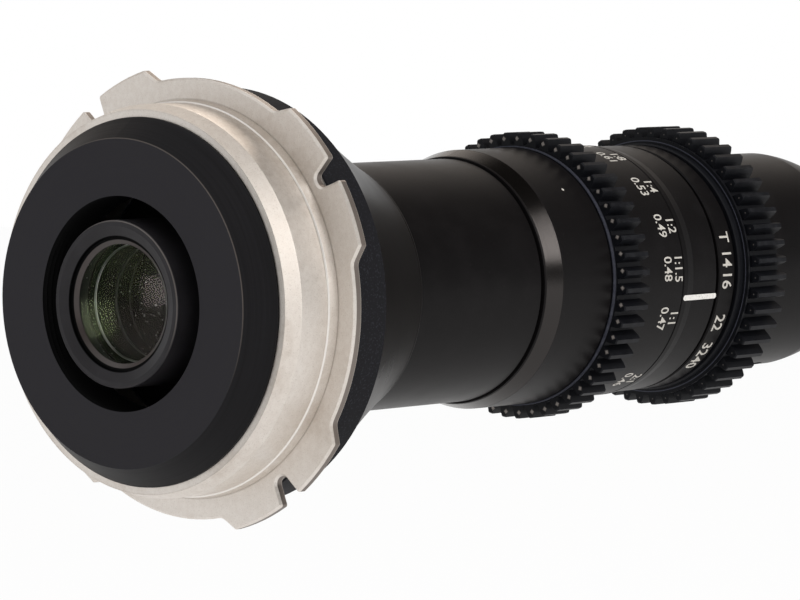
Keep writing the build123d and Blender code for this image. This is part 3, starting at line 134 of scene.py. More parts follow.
class LensSizes(PropertyGroup):
    """Sizes of the marks and small details that the frame doesn't hold."""

    figure_height: length("Figure height", "Height of the figures on the distance scale", 1.85)
    figure_pitch: length("Line pitch", "Distance between the two lines of a distance mark", 2.5)
    stop_height: length("Stop height", "Height of the figures on the aperture scale", 2.3)
    figure_relief: length("Paint thickness", "Thickness of the paint in the engraved figures", 0.03)
    index_width: length("Index width", "Width of the white index line", 0.82)
    index_margin: length("Index margin", "Bare metal left at each end of the index line", 0.2)
    dot_width: length("Dot width", "Width of the light dot on the focus ring", 0.45)
    floor_drop: length("Floor drop", "Height of the optical axis over the studio floor", 120.0)
    floor_size: length("Floor size", "Side of the square studio floor", 9000.0)


class LensColours(PropertyGroup):
    """Base colours of the finishes."""

    nickel: tint("Nickel", "Satin nickel of the camera mount", (0.75, 0.70, 0.65))
    # Colour of the random clouds on the nickel, also used as painted shade on the top of the spigot.
    tarnish_and_shade: tint("Tarnish", "Brownish shade that old nickel takes", (0.50, 0.42, 0.35))
    anodised: tint("Anodised", "Black of the turned barrel parts", (0.0052, 0.0047, 0.0050))
    flare: tint("Flare", "Black of the flared adapter", (0.0050, 0.0042, 0.0040))
    baffle: tint("Baffle", "Blue-grey black of the rear baffle", (0.0225, 0.0215, 0.0260))
    gear: tint("Gears", "Blue-black of the gear teeth", (0.0035, 0.0038, 0.0052))
    paint: tint("Figures", "Cream paint of the figures", (0.58, 0.56, 0.52))
    line: tint("Index line", "White paint of the index line", (0.84, 0.83, 0.80))
    floor: tint("Floor", "Pale studio floor", (0.92, 0.92, 0.92))


# Shader trees

class Reading:
    """A value in a shader tree, which sums and products can be written with."""

    def __init__(self, finish, socket):
        self.finish = finish
        self.socket = socket

    def maths(self, operation, *values):
        """A Math node that works on the given values."""
        return self.finish.add("ShaderNodeMath", {"operation": operation}, dict(enumerate(values)))

    def __add__(self, other):
        return self.maths("ADD", self, other)

    def __sub__(self, other):
        return self.maths("SUBTRACT", self, other)

    def __rsub__(self, other):
        return self.maths("SUBTRACT", other, self)

    def __mul__(self, other):
        return self.maths("MULTIPLY", self, other)

    def __truediv__(self, other):
        return self.maths("DIVIDE", self, other)

    def __pow__(self, other):
        return self.maths("POWER", self, other)

    def __abs__(self):
        return self.maths("ABSOLUTE", self)

    __radd__ = __add__
    __rmul__ = __mul__


class Finish:
    """A material or world under construction."""

    def __init__(self, tree, kind):
        tree.nodes.clear()
        self.tree = tree
        self.output = tree.nodes.new(kind)

    @classmethod
    def of_material(cls, name):
        material = bpy.data.materials.new(name)
        material.use_nodes = True
        finish = cls(material.node_tree, "ShaderNodeOutputMaterial")
        finish.material = material
        return finish

    def add(self, kind, settings=None, inputs=None, output=0):
        """Adds a node: its settings come first, then the values or links of its sockets."""
        node = self.tree.nodes.new(kind)
        for name, value in (settings or {}).items():
            setattr(node, name, value)
        for name, value in (inputs or {}).items():
            if isinstance(value, Reading):
                self.tree.links.new(value.socket, node.inputs[name])
            else:
                node.inputs[name].default_value = value
        return Reading(self, node.outputs[output])

    def shine(self, shader):
        """Ends the tree with a shader."""
        self.tree.links.new(shader.socket, self.output.inputs["Surface"])

    def parts(self, vector):
        """The three numbers of a vector."""
        split = self.add("ShaderNodeSeparateXYZ", inputs={0: vector})
        return [Reading(self, socket) for socket in split.socket.node.outputs]

    def point(self):
        """Where the shaded point is, in metres."""
        return self.add("ShaderNodeTexCoord", output="Object")

    def station(self):
        """Station on the optical axis, radius, and the direction round it as two numbers."""
        along, across, up = self.parts(self.point())
        radius = (across * across + up * up) ** 0.5
        return along, radius, across / radius, up / radius

    def clock(self):
        """Turn about the optical axis in radians, from the top towards the scale side."""
        _, across, up = self.parts(self.point())
        outward = across * -1.0
        return outward.maths("ARCTAN2", outward, up)

    def noise(self, scale, detail=2.0, rough=0.5, vector=None, fourth=None):
        """Soft random pattern, scale features to a metre."""
        inputs = {"Vector": vector or self.point(), "Scale": scale, "Detail": detail, "Roughness": rough}
        settings = {"noise_dimensions": "3D"}
        if fourth is not None:
            settings["noise_dimensions"] = "4D"
            inputs["W"] = fourth
        return self.add("ShaderNodeTexNoise", settings, inputs)

    def turned(self, lines, run=0.0004, detail=3.0):
        """Fine lines that a lathe leaves, so many to a metre, long in the direction of the cut."""
        along, radius, across, up = self.station()
        place = self.add("ShaderNodeCombineXYZ", inputs={0: along, 1: radius, 2: across * run})
        return self.noise(lines, detail, 0.6, place, up * run)

    def fade(self, value, low, high):
        """Smooth step from 0 at low to 1 at high."""
        settings = {"interpolation_type": "SMOOTHSTEP"}
        return self.add("ShaderNodeMapRange", settings, {"Value": value, "From Min": low, "From Max": high})

    def seen(self, gleam=1.0):
        """1 for rays of the camera and through glass, and a share of those that glossy surfaces send on."""
        path = self.add("ShaderNodeLightPath", output="Is Camera Ray")
        outputs = path.socket.node.outputs
        through = Reading(self, outputs["Is Transmission Ray"])
        glossy = Reading(self, outputs["Is Glossy Ray"])
        return path.maths("MINIMUM", path + through + glossy * gleam, 1.0)

    def band(self, value, low, high, soft):
        """1 between low and high, with soft edges."""
        return self.fade(value, low - soft, low + soft) * self.fade(value, high + soft, high - soft)

    def mixed(self, factor, first, second):
        """A colour between two."""
        first = first if isinstance(first, Reading) else (*first, 1.0)
        second = second if isinstance(second, Reading) else (*second, 1.0)
        settings = {"data_type": "RGBA"}
        return self.add("ShaderNodeMix", settings, {0: factor, 6: first, 7: second}, output=2)

    def bump(self, height, depth, strength=1.0, over=None):
        """Small relief, with depth in metres."""
        inputs = {"Height": height, "Distance": depth, "Strength": strength}
        if over is not None:
            inputs["Normal"] = over
        return self.add("ShaderNodeBump", inputs=inputs)

    def principled(self, **sockets):
        """The main shader, with its sockets by name."""
        names = {name.replace("_", " "): value for name, value in sockets.items()}
        if "Specular" in names:
            names["Specular IOR Level"] = names.pop("Specular")
        return self.add("ShaderNodeBsdfPrincipled", inputs=names)


def satin_nickel():
    """Bead-blasted nickel: grain, turning lines, brownish clouds, painted shade darkening the top of the
    spigot, a painted highlight on the root step, painted shade at the root of the spigot and on the side
    walls.
    """
    finish = Finish.of_material("satin_nickel")
    colours = bpy.context.scene.lens_colours
    along, radius, _, up = finish.station()
    clouds = finish.fade(finish.noise(95.0, 3.0, 0.6), 0.48, 0.72)
    mottle = finish.noise(1150.0, 4.0, 0.65)
    grain = finish.noise(5200.0, 2.0, 0.6)
    lines = finish.turned(5200.0)
    # The last colour on the next line is a painted highlight for the root step.
    bright, pitted, step_highlight = (0.90, 0.87, 0.83), (0.44, 0.39, 0.34), (0.97, 0.95, 0.92)
    # Both colours on the next line are painted shade: the first for the root of the spigot, the second for
    # the side walls.
    corner_shade, dark = (0.30, 0.26, 0.22), (0.13, 0.105, 0.09)
    spigot = finish.band(along, *SPIGOT, 0.5 * MM)
    # The clouds are the metal's own stains; the band on the spigot, stronger towards its top, is painted
    # shade.
    tarnish_and_top_shade = clouds * 0.30 + spigot * finish.fade(up, 0.15, 0.8) * 0.22
    shade = finish.mixed(tarnish_and_top_shade, colours.nickel, colours.tarnish_and_shade)
    shade = finish.mixed(finish.fade(mottle, 0.36, 0.66) * 0.30, shade, bright)
    shade = finish.mixed(finish.fade(grain, 0.55, 0.72) * 0.36, shade, pitted)
    lead = finish.fade(along, *LEAD_CONE) * finish.fade(radius, *LEAD_CONE_RADIUS)
    step = finish.band(along, *ROOT_STEP, 0.04 * MM) * finish.fade(radius, *ROOT_STEP_RADIUS)
    side = finish.band(along, *FLANGE_SIDE, 0.06 * MM) * finish.fade(radius, *FLANGE_SIDE_RADIUS)
    corner_shade_mask = finish.band(radius, *ROOT_CORNER_RADIUS, 0.08 * MM) * finish.fade(along, *ROOT_CORNER)
    # Painted highlight: the root step is made near white.
    shade = finish.mixed(step * 0.6, shade, step_highlight)
    # Painted shade: the angle at the root of the spigot is darkened.
    shade = finish.mixed(corner_shade_mask * 0.35, shade, corner_shade)
    # Painted shade: the side walls of the flange and lugs are made dark brownish.
    shade = finish.mixed(side * 0.85, shade, dark)
    rough = 0.40 + mottle * 0.16 + clouds * 0.06 + lead * 0.15
    relief = finish.bump(grain * 0.6 + mottle * 0.4, 0.034 * MM, 0.75)
    relief = finish.bump(lines, 0.006 * MM, 0.4, relief)
    finish.shine(finish.principled(Base_Color=shade, Metallic=1.0, Roughness=rough, Normal=relief))
    return finish.material


def black_turned(
    name, colour, rough, specular, grain_depth, line_depth, speckle=0.0, highlight_radius=None, shaded_hollow=None,
):
    """Black anodised metal: blasted grain, lathe lines, uneven gloss and a little dust.

    Depths are in millimetres. It can have a painted highlight on the upper side of its edge at one radius,
    and painted shade that makes it dull black inside another.
    """
    finish = Finish.of_material(name)
    grain = finish.noise(7800.0, 2.0, 0.6)
    uneven = finish.noise(210.0, 3.0, 0.55)
    lines = finish.turned(6400.0)
    specks = finish.fade(finish.noise(2600.0, 1.0, 0.4), 0.74, 0.79)
    haze = finish.fade(uneven, 0.42, 0.75)
    pale = tuple(part * 1.8 for part in colour)
    shade = finish.mixed(haze * 0.45 + grain * 0.2, colour, pale)
    shade = finish.mixed(specks * 0.125, shade, DUST)
    if speckle:
        flecks = finish.fade(finish.noise(4200.0, 1.0, 0.5), 0.55, 0.72)
        shade = finish.mixed(flecks * speckle, shade, (0.03, 0.032, 0.04))
    if highlight_radius:
        _, radius, across, up = finish.station()
        # Painted highlight: a pale band on the upper side of the edge at this radius.
        edge = finish.band(radius, highlight_radius - 0.08 * MM, highlight_radius + 0.05 * MM, 0.05 * MM)
        shade = finish.mixed(edge * finish.fade(up - across, 0.0, 1.0) * 0.6, shade, (0.20, 0.18, 0.17))
    gloss = rough + uneven * 0.10 + grain * 0.06 - 0.08
    relief = finish.bump(grain, grain_depth * MM, 0.6)
    relief = finish.bump(lines, line_depth * MM, 0.6, relief)
    shader = finish.principled(Base_Color=shade, Roughness=gloss, Normal=relief, Specular=specular)
    # Painted shade: inside this radius the surface is made dull near-black, as in a recess in shadow.
    if shaded_hollow:
        _, radius, _, _ = finish.station()
        inside = finish.fade(radius, shaded_hollow + 0.06 * MM, shaded_hollow - 0.06 * MM)
        depth = finish.mixed(grain * 0.3, (0.0016, 0.0016, 0.0018), (0.0030, 0.0030, 0.0034))
        gloss = 0.55 + lines * 0.1
        dull = finish.principled(Base_Color=depth, Roughness=gloss, Normal=relief, Specular=0.03)
        shader = finish.add("ShaderNodeMixShader", inputs={0: inside, 1: shader, 2: dull})
    finish.shine(shader)
    return finish.material


def ring_black(colour, start):
    """Focus ring: satin black with a bare, brighter bevel that starts near its rear edge."""
    finish = Finish.of_material("ring_black")
    along, _, _, _ = finish.station()
    grain = finish.noise(7800.0, 2.0, 0.6)
    uneven = finish.noise(210.0, 3.0, 0.55)
    lines = finish.turned(5600.0)
    bevel = finish.band(along, start + FOCUS_BEVEL[0], start + FOCUS_BEVEL[1], 0.06 * MM)
    specks = finish.fade(finish.noise(2600.0, 1.0, 0.4), 0.74, 0.79)
    shade = finish.mixed(uneven * 0.4 + grain * 0.2, colour, tuple(part * 1.8 for part in colour))
    shade = finish.mixed(specks * 0.12, shade, DUST)
    shade = finish.mixed(bevel, shade, (0.044, 0.0408, 0.0398))
    gloss = 0.30 + uneven * 0.10 + grain * 0.06 - bevel * 0.205 + bevel * lines * 0.05
    relief = finish.bump(grain, 0.010 * MM, 0.6)
    relief = finish.bump(lines, 0.008 * MM, 0.6, relief)
    finish.shine(finish.principled(
        Base_Color=shade, Metallic=bevel, Roughness=gloss, Normal=relief, Specular=0.080
    ))
    return finish.material


def flare_black():
    """The adapter: a matt, speckled rim at the mount and a glossier turned flare."""
    finish = Finish.of_material("flare_black")
    colours = bpy.context.scene.lens_colours
    along, _, _, _ = finish.station()
    rim = finish.fade(along, *ADAPTER_RIM)
    grain = finish.noise(6800.0, 2.0, 0.6)
    flecks = finish.fade(finish.noise(3600.0, 1.0, 0.5), 0.56, 0.70)
    uneven = finish.noise(150.0, 3.0, 0.55)
    lines = finish.turned(5200.0)
    shade = finish.mixed(uneven * 0.5, colours.flare, (0.009, 0.0075, 0.007))
    shade = finish.mixed(rim, shade, (0.0140, 0.0142, 0.0165))
    shade = finish.mixed(rim * flecks * 0.45, shade, (0.040, 0.042, 0.052))
    gloss = 0.25 + uneven * 0.07 + rim * 0.22
    relief = finish.bump(grain, 0.010 * MM, 0.25)
    relief = finish.bump(lines, 0.006 * MM, 0.5, relief)
    finish.shine(finish.principled(Base_Color=shade, Roughness=gloss, Normal=relief, Specular=0.030))
    return finish.material


def baffle_black():
    """Rear baffle: satin blue-black face, a thin painted highlight on the upper side of the edge where the
    slope starts, a dull black bore.
    """
    finish = Finish.of_material("baffle_black")
    colours = bpy.context.scene.lens_colours
    along, radius, across, up = finish.station()
    lines = finish.turned(4200.0, 0.0002, 4.0)
    grain = finish.noise(7000.0, 2.0, 0.6)
    uneven = finish.noise(60.0, 2.0, 0.5)
    slope = finish.fade(radius, *BAFFLE_SLOPE_RADIUS)
    # Painted highlight: a pale band on the upper side of the edge where the slope starts.
    edge = finish.band(radius, *BAFFLE_EDGE_RADIUS, 0.05 * MM) * finish.fade(up - across, 0.2, 1.1)
    inside = finish.fade(along, *BAFFLE_BORE) * finish.fade(radius, *BAFFLE_BORE_RADIUS)
    dark = tuple(part * 0.12 for part in colours.baffle)
    shade = finish.mixed(uneven * 0.35 + grain * 0.15, colours.baffle, (0.026, 0.0255, 0.029))
    shade = finish.mixed(slope * (0.55 + lines * 0.5), shade, dark)
    shade = finish.mixed(edge * 0.5, shade, (0.16, 0.14, 0.125))
    gloss = 0.50 - slope * 0.08 + lines * 0.12
    relief = finish.bump(grain, 0.010 * MM, 0.5)
    relief = finish.bump(lines, 0.016 * MM, 0.7, relief)
    face = finish.principled(Base_Color=shade, Roughness=gloss, Normal=relief, Specular=0.12)
    depth = finish.mixed(grain * 0.3, (0.0016, 0.0016, 0.0019), (0.0030, 0.0030, 0.0034))
    bore = finish.principled(Base_Color=depth, Roughness=0.50 + lines * 0.1, Normal=relief, Specular=0.08)
    finish.shine(finish.add("ShaderNodeMixShader", inputs={0: inside, 1: face, 2: bore}))
    return finish.material


def gear_black(name, start):
    """Gear ring: matt blue-black, paler tooth tips, a painted highlight along the rear rim and a painted
    highlight dot at the rear of each tooth.
    """
    finish = Finish.of_material(name)
    colours = bpy.context.scene.lens_colours
    along, radius, _, _ = finish.station()
    grain = finish.noise(6000.0, 3.0, 0.6)
    uneven = finish.noise(900.0, 3.0, 0.6)
    tip = finish.fade(radius, *GEAR_TIP_RADIUS)
    turns = finish.clock() / (2 * pi) * GEAR_TEETH
    side = abs(turns.maths("FRACT", turns) - 0.5) * (2 * pi * GEAR_PITCH_RADIUS / GEAR_TEETH)
    # Painted highlight: a pale dot at the rear of each tooth.
    tooth_glint = finish.fade(side + abs(along - start) + abs(radius - GEAR_GLINT_RADIUS), 0.50 * MM, 0.18 * MM)
    shade = finish.mixed(uneven * 0.5 + grain * 0.25, colours.gear, (0.008, 0.009, 0.0125))
    shade = finish.mixed(tip * finish.fade(uneven, 0.40, 0.66) * 0.25, shade, (0.028, 0.029, 0.034))
    shade = finish.mixed(tooth_glint * 0.85, shade, (0.34, 0.31, 0.29))
    # Painted highlight: a pale blue-grey line along the rear rim of the gear.
    rim = finish.band(radius, *GEAR_RIM_RADIUS, 0.05 * MM)
    rim = rim * finish.fade(along, start, start - 0.10 * MM)
    shade = finish.mixed(rim * 0.8, shade, (0.085, 0.090, 0.120))
    gloss = 0.44 + uneven * 0.12 - tip * 0.08
    relief = finish.bump(grain, 0.014 * MM, 0.6)
    finish.shine(finish.principled(Base_Color=shade, Roughness=gloss, Normal=relief, Specular=0.14))
    return finish.material


def coated_glass(name, bend, reflected):
    """Optical glass with a film and motes; its coating tints, weakens and softens what it reflects."""
    finish = Finish.of_material(name)
    motes = finish.fade(finish.noise(3800.0, 0.0, 0.5), 0.80, 0.84)
    film = finish.noise(260.0, 2.0, 0.5)
    body, mote = (0.93, 0.95, 0.93), (0.55, 0.55, 0.55)
    shade = finish.mixed(film * 0.25, body, tuple(part * 0.93 for part in body))
    shade = finish.mixed(motes * 0.5, shade, mote)
    rough = motes * 0.25 + finish.fade(film, 0.5, 0.9) * 0.015 + 0.075
    finish.shine(finish.principled(
        Base_Color=shade, Roughness=rough, IOR=bend, Transmission_Weight=1.0,
        Specular_Tint=(*reflected, 1.0),
    ))
    return finish.material


def turned_metal(name, colour, rough, lines_depth=0.008, stain=(0.25, 0.2, 0.15)):
    """Bare turned metal with lathe lines and light staining."""
    finish = Finish.of_material(name)
    lines = finish.turned(7000.0)
    clouds = finish.fade(finish.noise(320.0, 3.0, 0.6), 0.5, 0.78)
    grain = finish.noise(6200.0, 2.0, 0.6)
    shade = finish.mixed(clouds * 0.35, colour, stain)
    gloss = rough + lines * 0.12 + clouds * 0.1
    relief = finish.bump(lines * 0.7 + grain * 0.3, lines_depth * MM, 0.6)
    finish.shine(finish.principled(Base_Color=shade, Metallic=1.0, Roughness=gloss, Normal=relief))
    return finish.material


def moulded(name, colour, second, rough, scale=2400.0, depth=0.01, **sockets):
    """Plain non-metal surface with grain and slight colour variation."""
    finish = Finish.of_material(name)
    grain = finish.noise(scale, 3.0, 0.6)
    clouds = finish.noise(scale / 9.0, 2.0, 0.5)
    shade = finish.mixed(finish.fade(clouds, 0.3, 0.7) * 0.6 + grain * 0.3, colour, second)
    gloss = rough + grain * 0.15
    relief = finish.bump(grain, depth * MM, 0.5)
    finish.shine(finish.principled(Base_Color=shade, Roughness=gloss, Normal=relief, **sockets))
    return finish.material


def figure_paint(name, colour):
    """Paint in the engraved figures and lines, slightly worn through."""
    finish = Finish.of_material(name)
    wear = finish.fade(finish.noise(2600.0, 3.0, 0.6), 0.50, 0.74)
    grain = finish.noise(9000.0, 2.0, 0.5)
    shade = finish.mixed(wear * 0.45, colour, tuple(part * 0.45 for part in colour))
    relief = finish.bump(grain, 0.006 * MM, 0.5)
    finish.shine(finish.principled(Base_Color=shade, Roughness=0.5 + grain * 0.15, Normal=relief))
    return finish.material


# Helpers for pieces

def dress(material, *names):
    """Gives frame nodes a finish."""
    for name in names:
        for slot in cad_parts[name].material_slots:
            slot.material = material


def turned_mesh(form, name, steps):
    """Turns a profile once round the axis into a closed mesh with its faces outwards."""
    bmesh.ops.spin(
        form, geom=form.verts[:] + form.edges[:], cent=(0.0, 0.0, 0.0), axis=(1.0, 0.0, 0.0),
        angle=2 * pi, steps=steps, use_merge=True,
    )
    bmesh.ops.remove_doubles(form, verts=form.verts, dist=0.001 * MM)
    bmesh.ops.recalc_face_normals(form, faces=form.faces)
    mesh = bpy.data.meshes.new(name)
    form.to_mesh(mesh)
    form.free()
    return mesh


def piece(name, mesh, material, body, smooth=False):
    """Puts a finished mesh in the scene and lets it ride on a body.

    It is flat, or smooth, or with None smooth across shallow edges only.
    """
    mesh.materials.clear()
    mesh.materials.append(material)
    for face in mesh.polygons:
        face.use_smooth = smooth is not False
    if smooth is None:
        mesh.set_sharp_from_angle(angle=radians(20.0))
    made = bpy.data.objects.new(name, mesh)
    bpy.context.scene.collection.objects.link(made)
    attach(made, body)
    return made


def wrap(form, radius, along, turn, narrow=1.0):
    """Bends a flat bmesh round the axis: its x runs with the turn, its y along the axis, its z outwards."""
    for vert in form.verts:
        angle = radians(turn) + vert.co.x * narrow / radius
        outer = radius + vert.co.z
        vert.co = Vector((along + vert.co.y, -outer * sin(angle), outer * cos(angle)))


def raised(form, relief):
    """Gives a flat bmesh its thickness, with its base where it was."""
    top = bmesh.ops.extrude_face_region(form, geom=form.faces[:])
    moved = [part for part in top["geom"] if isinstance(part, bmesh.types.BMVert)]
    bmesh.ops.translate(form, verts=moved, vec=(0.0, 0.0, relief))
    bmesh.ops.recalc_face_normals(form, faces=form.faces)


def figures(text, height, relief):
    """A bmesh of one line of figures, centred and lying flat, as thick as the relief."""
    curve = bpy.data.curves.new("figures", "FONT")
    curve.body = text
    curve.align_x = "CENTER"
    curve.align_y = "CENTER"
    curve.size = height * FONT_SIZE
    curve.offset = height * FIGURE_BOLDNESS
    curve.resolution_u = 3
    carrier = bpy.data.objects.new("figures", curve)
    bpy.context.scene.collection.objects.link(carrier)
    bpy.context.view_layer.update()
    mesh = bpy.data.meshes.new_from_object(carrier)
    bpy.data.objects.remove(carrier)
    bpy.data.curves.remove(curve)
    form = bmesh.new()
    form.from_mesh(mesh)
    bpy.data.meshes.remove(mesh)
    bmesh.ops.remove_doubles(form, verts=form.verts, dist=height * 0.002)
    bmesh.ops.triangulate(form, faces=form.faces)
    raised(form, relief)
    return form


def joined(forms, name):
    """One mesh of several bmeshes."""
    whole = bmesh.new()
    for form in forms:
        part = bpy.data.meshes.new(name)
        form.to_mesh(part)
        form.free()
        whole.from_mesh(part)
        bpy.data.meshes.remove(part)
    mesh = bpy.data.meshes.new(name)
    whole.to_mesh(mesh)
    whole.free()
    return mesh


def top_of(node):
    """Outer radius of a turned node, and the stations of its rear and front ends."""
    low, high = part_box(node)
    return high[2], low[0], high[0]


def soft_panel(name, direction, far, size, level, colour):
    """A soft lamp that faces the object from a direction, given as turn and height in degrees.

    It is so far away, has a face of this width and height in metres, and the level says how bright that is.
    """
    turn, height = (radians(part) for part in direction)
    towards = Vector((cos(turn) * cos(height), sin(turn) * cos(height), sin(height)))
    data = bpy.data.lights.new(name, "AREA")
    data.shape = "RECTANGLE"
    data.size, data.size_y = size
    data.energy = level * pi * size[0] * size[1]
    data.color = colour
    lamp = bpy.data.objects.new(name, data)
    turned = towards.to_track_quat("Z", "Y").to_matrix().to_4x4()
    lamp.matrix_world = Matrix.Translation(towards * far) @ turned
    bpy.context.scene.collection.objects.link(lamp)
    return lamp


def light_only(name, objects, *lamps):
    """Lets lamps light the given objects and nothing else."""
    lit = bpy.data.collections.new(name)
    for item in objects:
        lit.objects.link(item)
    for lamp in lamps:
        lamp.light_linking.receiver_collection = lit


# One operator for each piece or group of like pieces

class LENS_OT_mount(Operator):
    """Finish of the camera mount, its shim and its screws"""

    bl_idname = "lens.mount"
    bl_label = "Camera mount"

    def execute(self, context):
        dress(satin_nickel(), "mount_flange")
        glow = soft_panel(
            "mount glow", (18.0, 38.0), far=1.2, size=(0.60, 0.60), level=2.8, colour=(1.0, 0.91, 0.82)
        )
        light_only("mount", (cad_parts["mount_flange"],), glow)
        steel = turned_metal("screw_steel", (0.42, 0.41, 0.40), rough=0.28)
        dress(steel, "mount_shim", "mount_screws", "stop_screw")
        return {"FINISHED"}


class LENS_OT_adapter(Operator):
    """Finish of the flared adapter"""

    bl_idname = "lens.adapter"
    bl_label = "Flared adapter"

    def execute(self, context):
        dress(flare_black(), "mount_adapter")
        return {"FINISHED"}


class LENS_OT_baffle(Operator):
    """Finish of the rear baffle"""

    bl_idname = "lens.baffle"
    bl_label = "Rear baffle"

    def execute(self, context):
        dress(baffle_black(), "rear_baffle")
        return {"FINISHED"}


class LENS_OT_barrel(Operator):
    """Finish of the turned black barrel, its rings and the probe"""

    bl_idname = "lens.barrel"
    bl_label = "Barrel and probe"

    def execute(self, context):
        colour = context.scene.lens_colours.anodised
        satin = black_turned(
            "satin_black", colour, rough=0.34, specular=0.070, grain_depth=0.010, line_depth=0.008
        )
        dress(satin, "rear_barrel", "front_housing", "probe_tube", "tip_housing")
        _, start, _ = top_of("focus_ring")
        dress(ring_black(colour, start), "focus_ring")
        scale = black_turned(
            "scale_black", colour, rough=0.38, specular=0.080, grain_depth=0.010, line_depth=0.006,
            speckle=0.10,
        )
        dress(scale, "focus_scale_ring", "index_ring", "aperture_ring")
        # The cell gets a painted highlight on its outer edge and painted shade inside its mouth.
        cell = black_turned(
            "cell_black", (0.018, 0.017, 0.0195), rough=0.38, specular=0.2, grain_depth=0.008,
            line_depth=0.030, highlight_radius=CELL_EDGE_RADIUS, shaded_hollow=CELL_HOLLOW_RADIUS,
        )
        dress(cell, "rear_cell", "objective_cell", "window_retainer")
        return {"FINISHED"}


class LENS_OT_gears(Operator):
    """Finish of the two gear rings"""

    bl_idname = "lens.gears"
    bl_label = "Gear rings"

    def execute(self, context):
        for name, start in (("focus_gear", FOCUS_GEAR_START), ("aperture_gear", APERTURE_GEAR_START)):
            dress(gear_black(name + "_black", start), name)
        return {"FINISHED"}


class LENS_OT_glass(Operator):
    """The two rear glasses with true round faces, and the coatings of all the others"""

    bl_idname = "lens.glass"
    bl_label = "Glasses"

    def execute(self, context):
        edge = moulded("glass_edge_black", (0.006, 0.006, 0.006), (0.010, 0.010, 0.010), rough=0.5)
        green = coated_glass("green_coat", bend=1.116, reflected=(0.55, 1.0, 0.66))
        olive = coated_glass("olive_coat", bend=1.125, reflected=(0.66, 1.0, 0.14))
        magenta = coated_glass("magenta_coat", bend=1.152, reflected=(1.0, 0.70, 0.80))
        blue = coated_glass("blue_coat", bend=1.16, reflected=(0.50, 0.66, 1.0))
        rear = self.element("rear_element", 79.4, -79.4, olive, magenta, edge)
        inner = self.element("rear_inner_element", 56.9, -56.9, magenta, blue, edge)
        cool = (1.0, 0.99, 0.98)
        light_only(
            "rear glasses", (rear, inner),
            soft_panel("rear gleam", (139.0, 3.0), far=1.0, size=(0.39, 0.15), level=1.1, colour=cool),
            soft_panel("low gleam", (127.5, -7.6), far=1.0, size=(0.25, 0.21), level=8.0, colour=cool),
        )
        dress(olive, "focus_rear_element", "relay_lens_1", "relay_lens_3")
        dress(green, "focus_front_element", "relay_lens_2", "relay_lens_4")
        dress(blue, "front_window", "objective_lens_1", "objective_lens_2")
        return {"FINISHED"}

    def element(self, node, rear_curve, front_curve, rear_coat, front_coat, edge):
        """A glass in the room of a frame node, with each face an arc of so many millimetres' radius."""
        low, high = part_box(node)
        radius = high[2]
        form = bmesh.new()
        rims = []
        for vertex, curve in ((low[0], rear_curve * MM), (high[0], front_curve * MM)):
            start = form.verts.new((vertex, 0.0, 0.0))
            made = bmesh.ops.spin(
                form, geom=[start], cent=(vertex + curve, 0.0, 0.0), axis=(0.0, 1.0, 0.0),
                angle=asin(radius / curve), steps=16,
            )
            rims += [part for part in made["geom_last"] if isinstance(part, bmesh.types.BMVert)]
        form.edges.new(rims)
        mesh = turned_mesh(form, node + "_glass", GLASS_STEPS)
        made = piece(node + "_glass", mesh, rear_coat, "lens_body", smooth=True)
        mesh.materials.append(front_coat)
        mesh.materials.append(edge)
        for face in mesh.polygons:
            forward = face.normal.x
            face.material_index = 2 if abs(forward) < 0.5 else int(forward > 0.0)
            face.use_smooth = face.material_index < 2
        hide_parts(node)
        return made


class LENS_OT_cell_rings(Operator):
    """Retainer of the rear glass with its bevelled mouth and painted shadow on its outer part, and pale
    metal rings at the edges of the spacer behind the glass as painted highlights
    """

    bl_idname = "lens.cell_rings"
    bl_label = "Rings of the rear cell"

    def execute(self, context):
        outer, _, front = top_of("rear_retainer")
        bronze = black_turned(
            "retainer_bronze", (0.036, 0.027, 0.025), rough=0.34, specular=0.5, grain_depth=0.008,
            line_depth=0.012,
        )
        # Painted shadow: the outer part of the retainer is made dull black, where the gap beside the cell
        # lies in shade.
        dull = black_turned(
            "retainer_shadow_black", (0.0020, 0.0020, 0.0022), rough=0.55, specular=0.04, grain_depth=0.008,
            line_depth=0.012,
        )
        retainer = self.ring("retainer_ring", bronze, (
            (front, outer), (front - 0.50 * MM, outer), (front - 0.50 * MM, outer - 0.34 * MM),
            (front - 0.44 * MM, outer - 0.42 * MM), (front, outer - 1.02 * MM),
        ))
        retainer.data.materials.append(dull)
        for face in retainer.data.polygons:
            face.material_index = int(face.center.yz.length > outer - 0.40 * MM)
        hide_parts("rear_retainer")
        _, rear, _ = top_of("rear_spacer")
        bore = SPACER_BORE
        # Painted highlight: a near-white metal ring at the black spacer's rear edge.
        bright = turned_metal("spacer_highlight_metal", (0.92, 0.91, 0.90), rough=0.24, stain=(0.7, 0.68, 0.66))
        self.ring("spacer_edge", bright, (
            (rear - 0.02 * MM, bore + 0.16 * MM), (rear - 0.02 * MM, bore + 0.05 * MM),
            (rear + 0.16 * MM, bore - 0.04 * MM), (rear + 0.16 * MM, bore + 0.16 * MM),
        ))
        # Painted highlight: a grey metal ring at the spacer's step, for a fainter line of light.
        dull = turned_metal("spacer_step_highlight_metal", (0.20, 0.20, 0.20), rough=0.35)
        step = rear + 3.9 * MM
        self.ring("spacer_step", dull, (
            (step, bore + 0.04 * MM), (step, bore - 0.04 * MM), (step + 0.08 * MM, bore - 0.08 * MM),
            (step + 0.3 * MM, bore - 0.08 * MM), (step + 0.3 * MM, bore + 0.04 * MM),
        ))
        return {"FINISHED"}

    def ring(self, name, material, profile):
        """A ring turned from a closed profile of stations and radii."""
        form = bmesh.new()
        corners = [form.verts.new((along, 0.0, radius)) for along, radius in profile]
        for pair in zip(corners, corners[1:] + corners[:1]):
            form.edges.new(pair)
        mesh = turned_mesh(form, name, RING_STEPS)
        return piece(name, mesh, material, "lens_body", smooth=None)


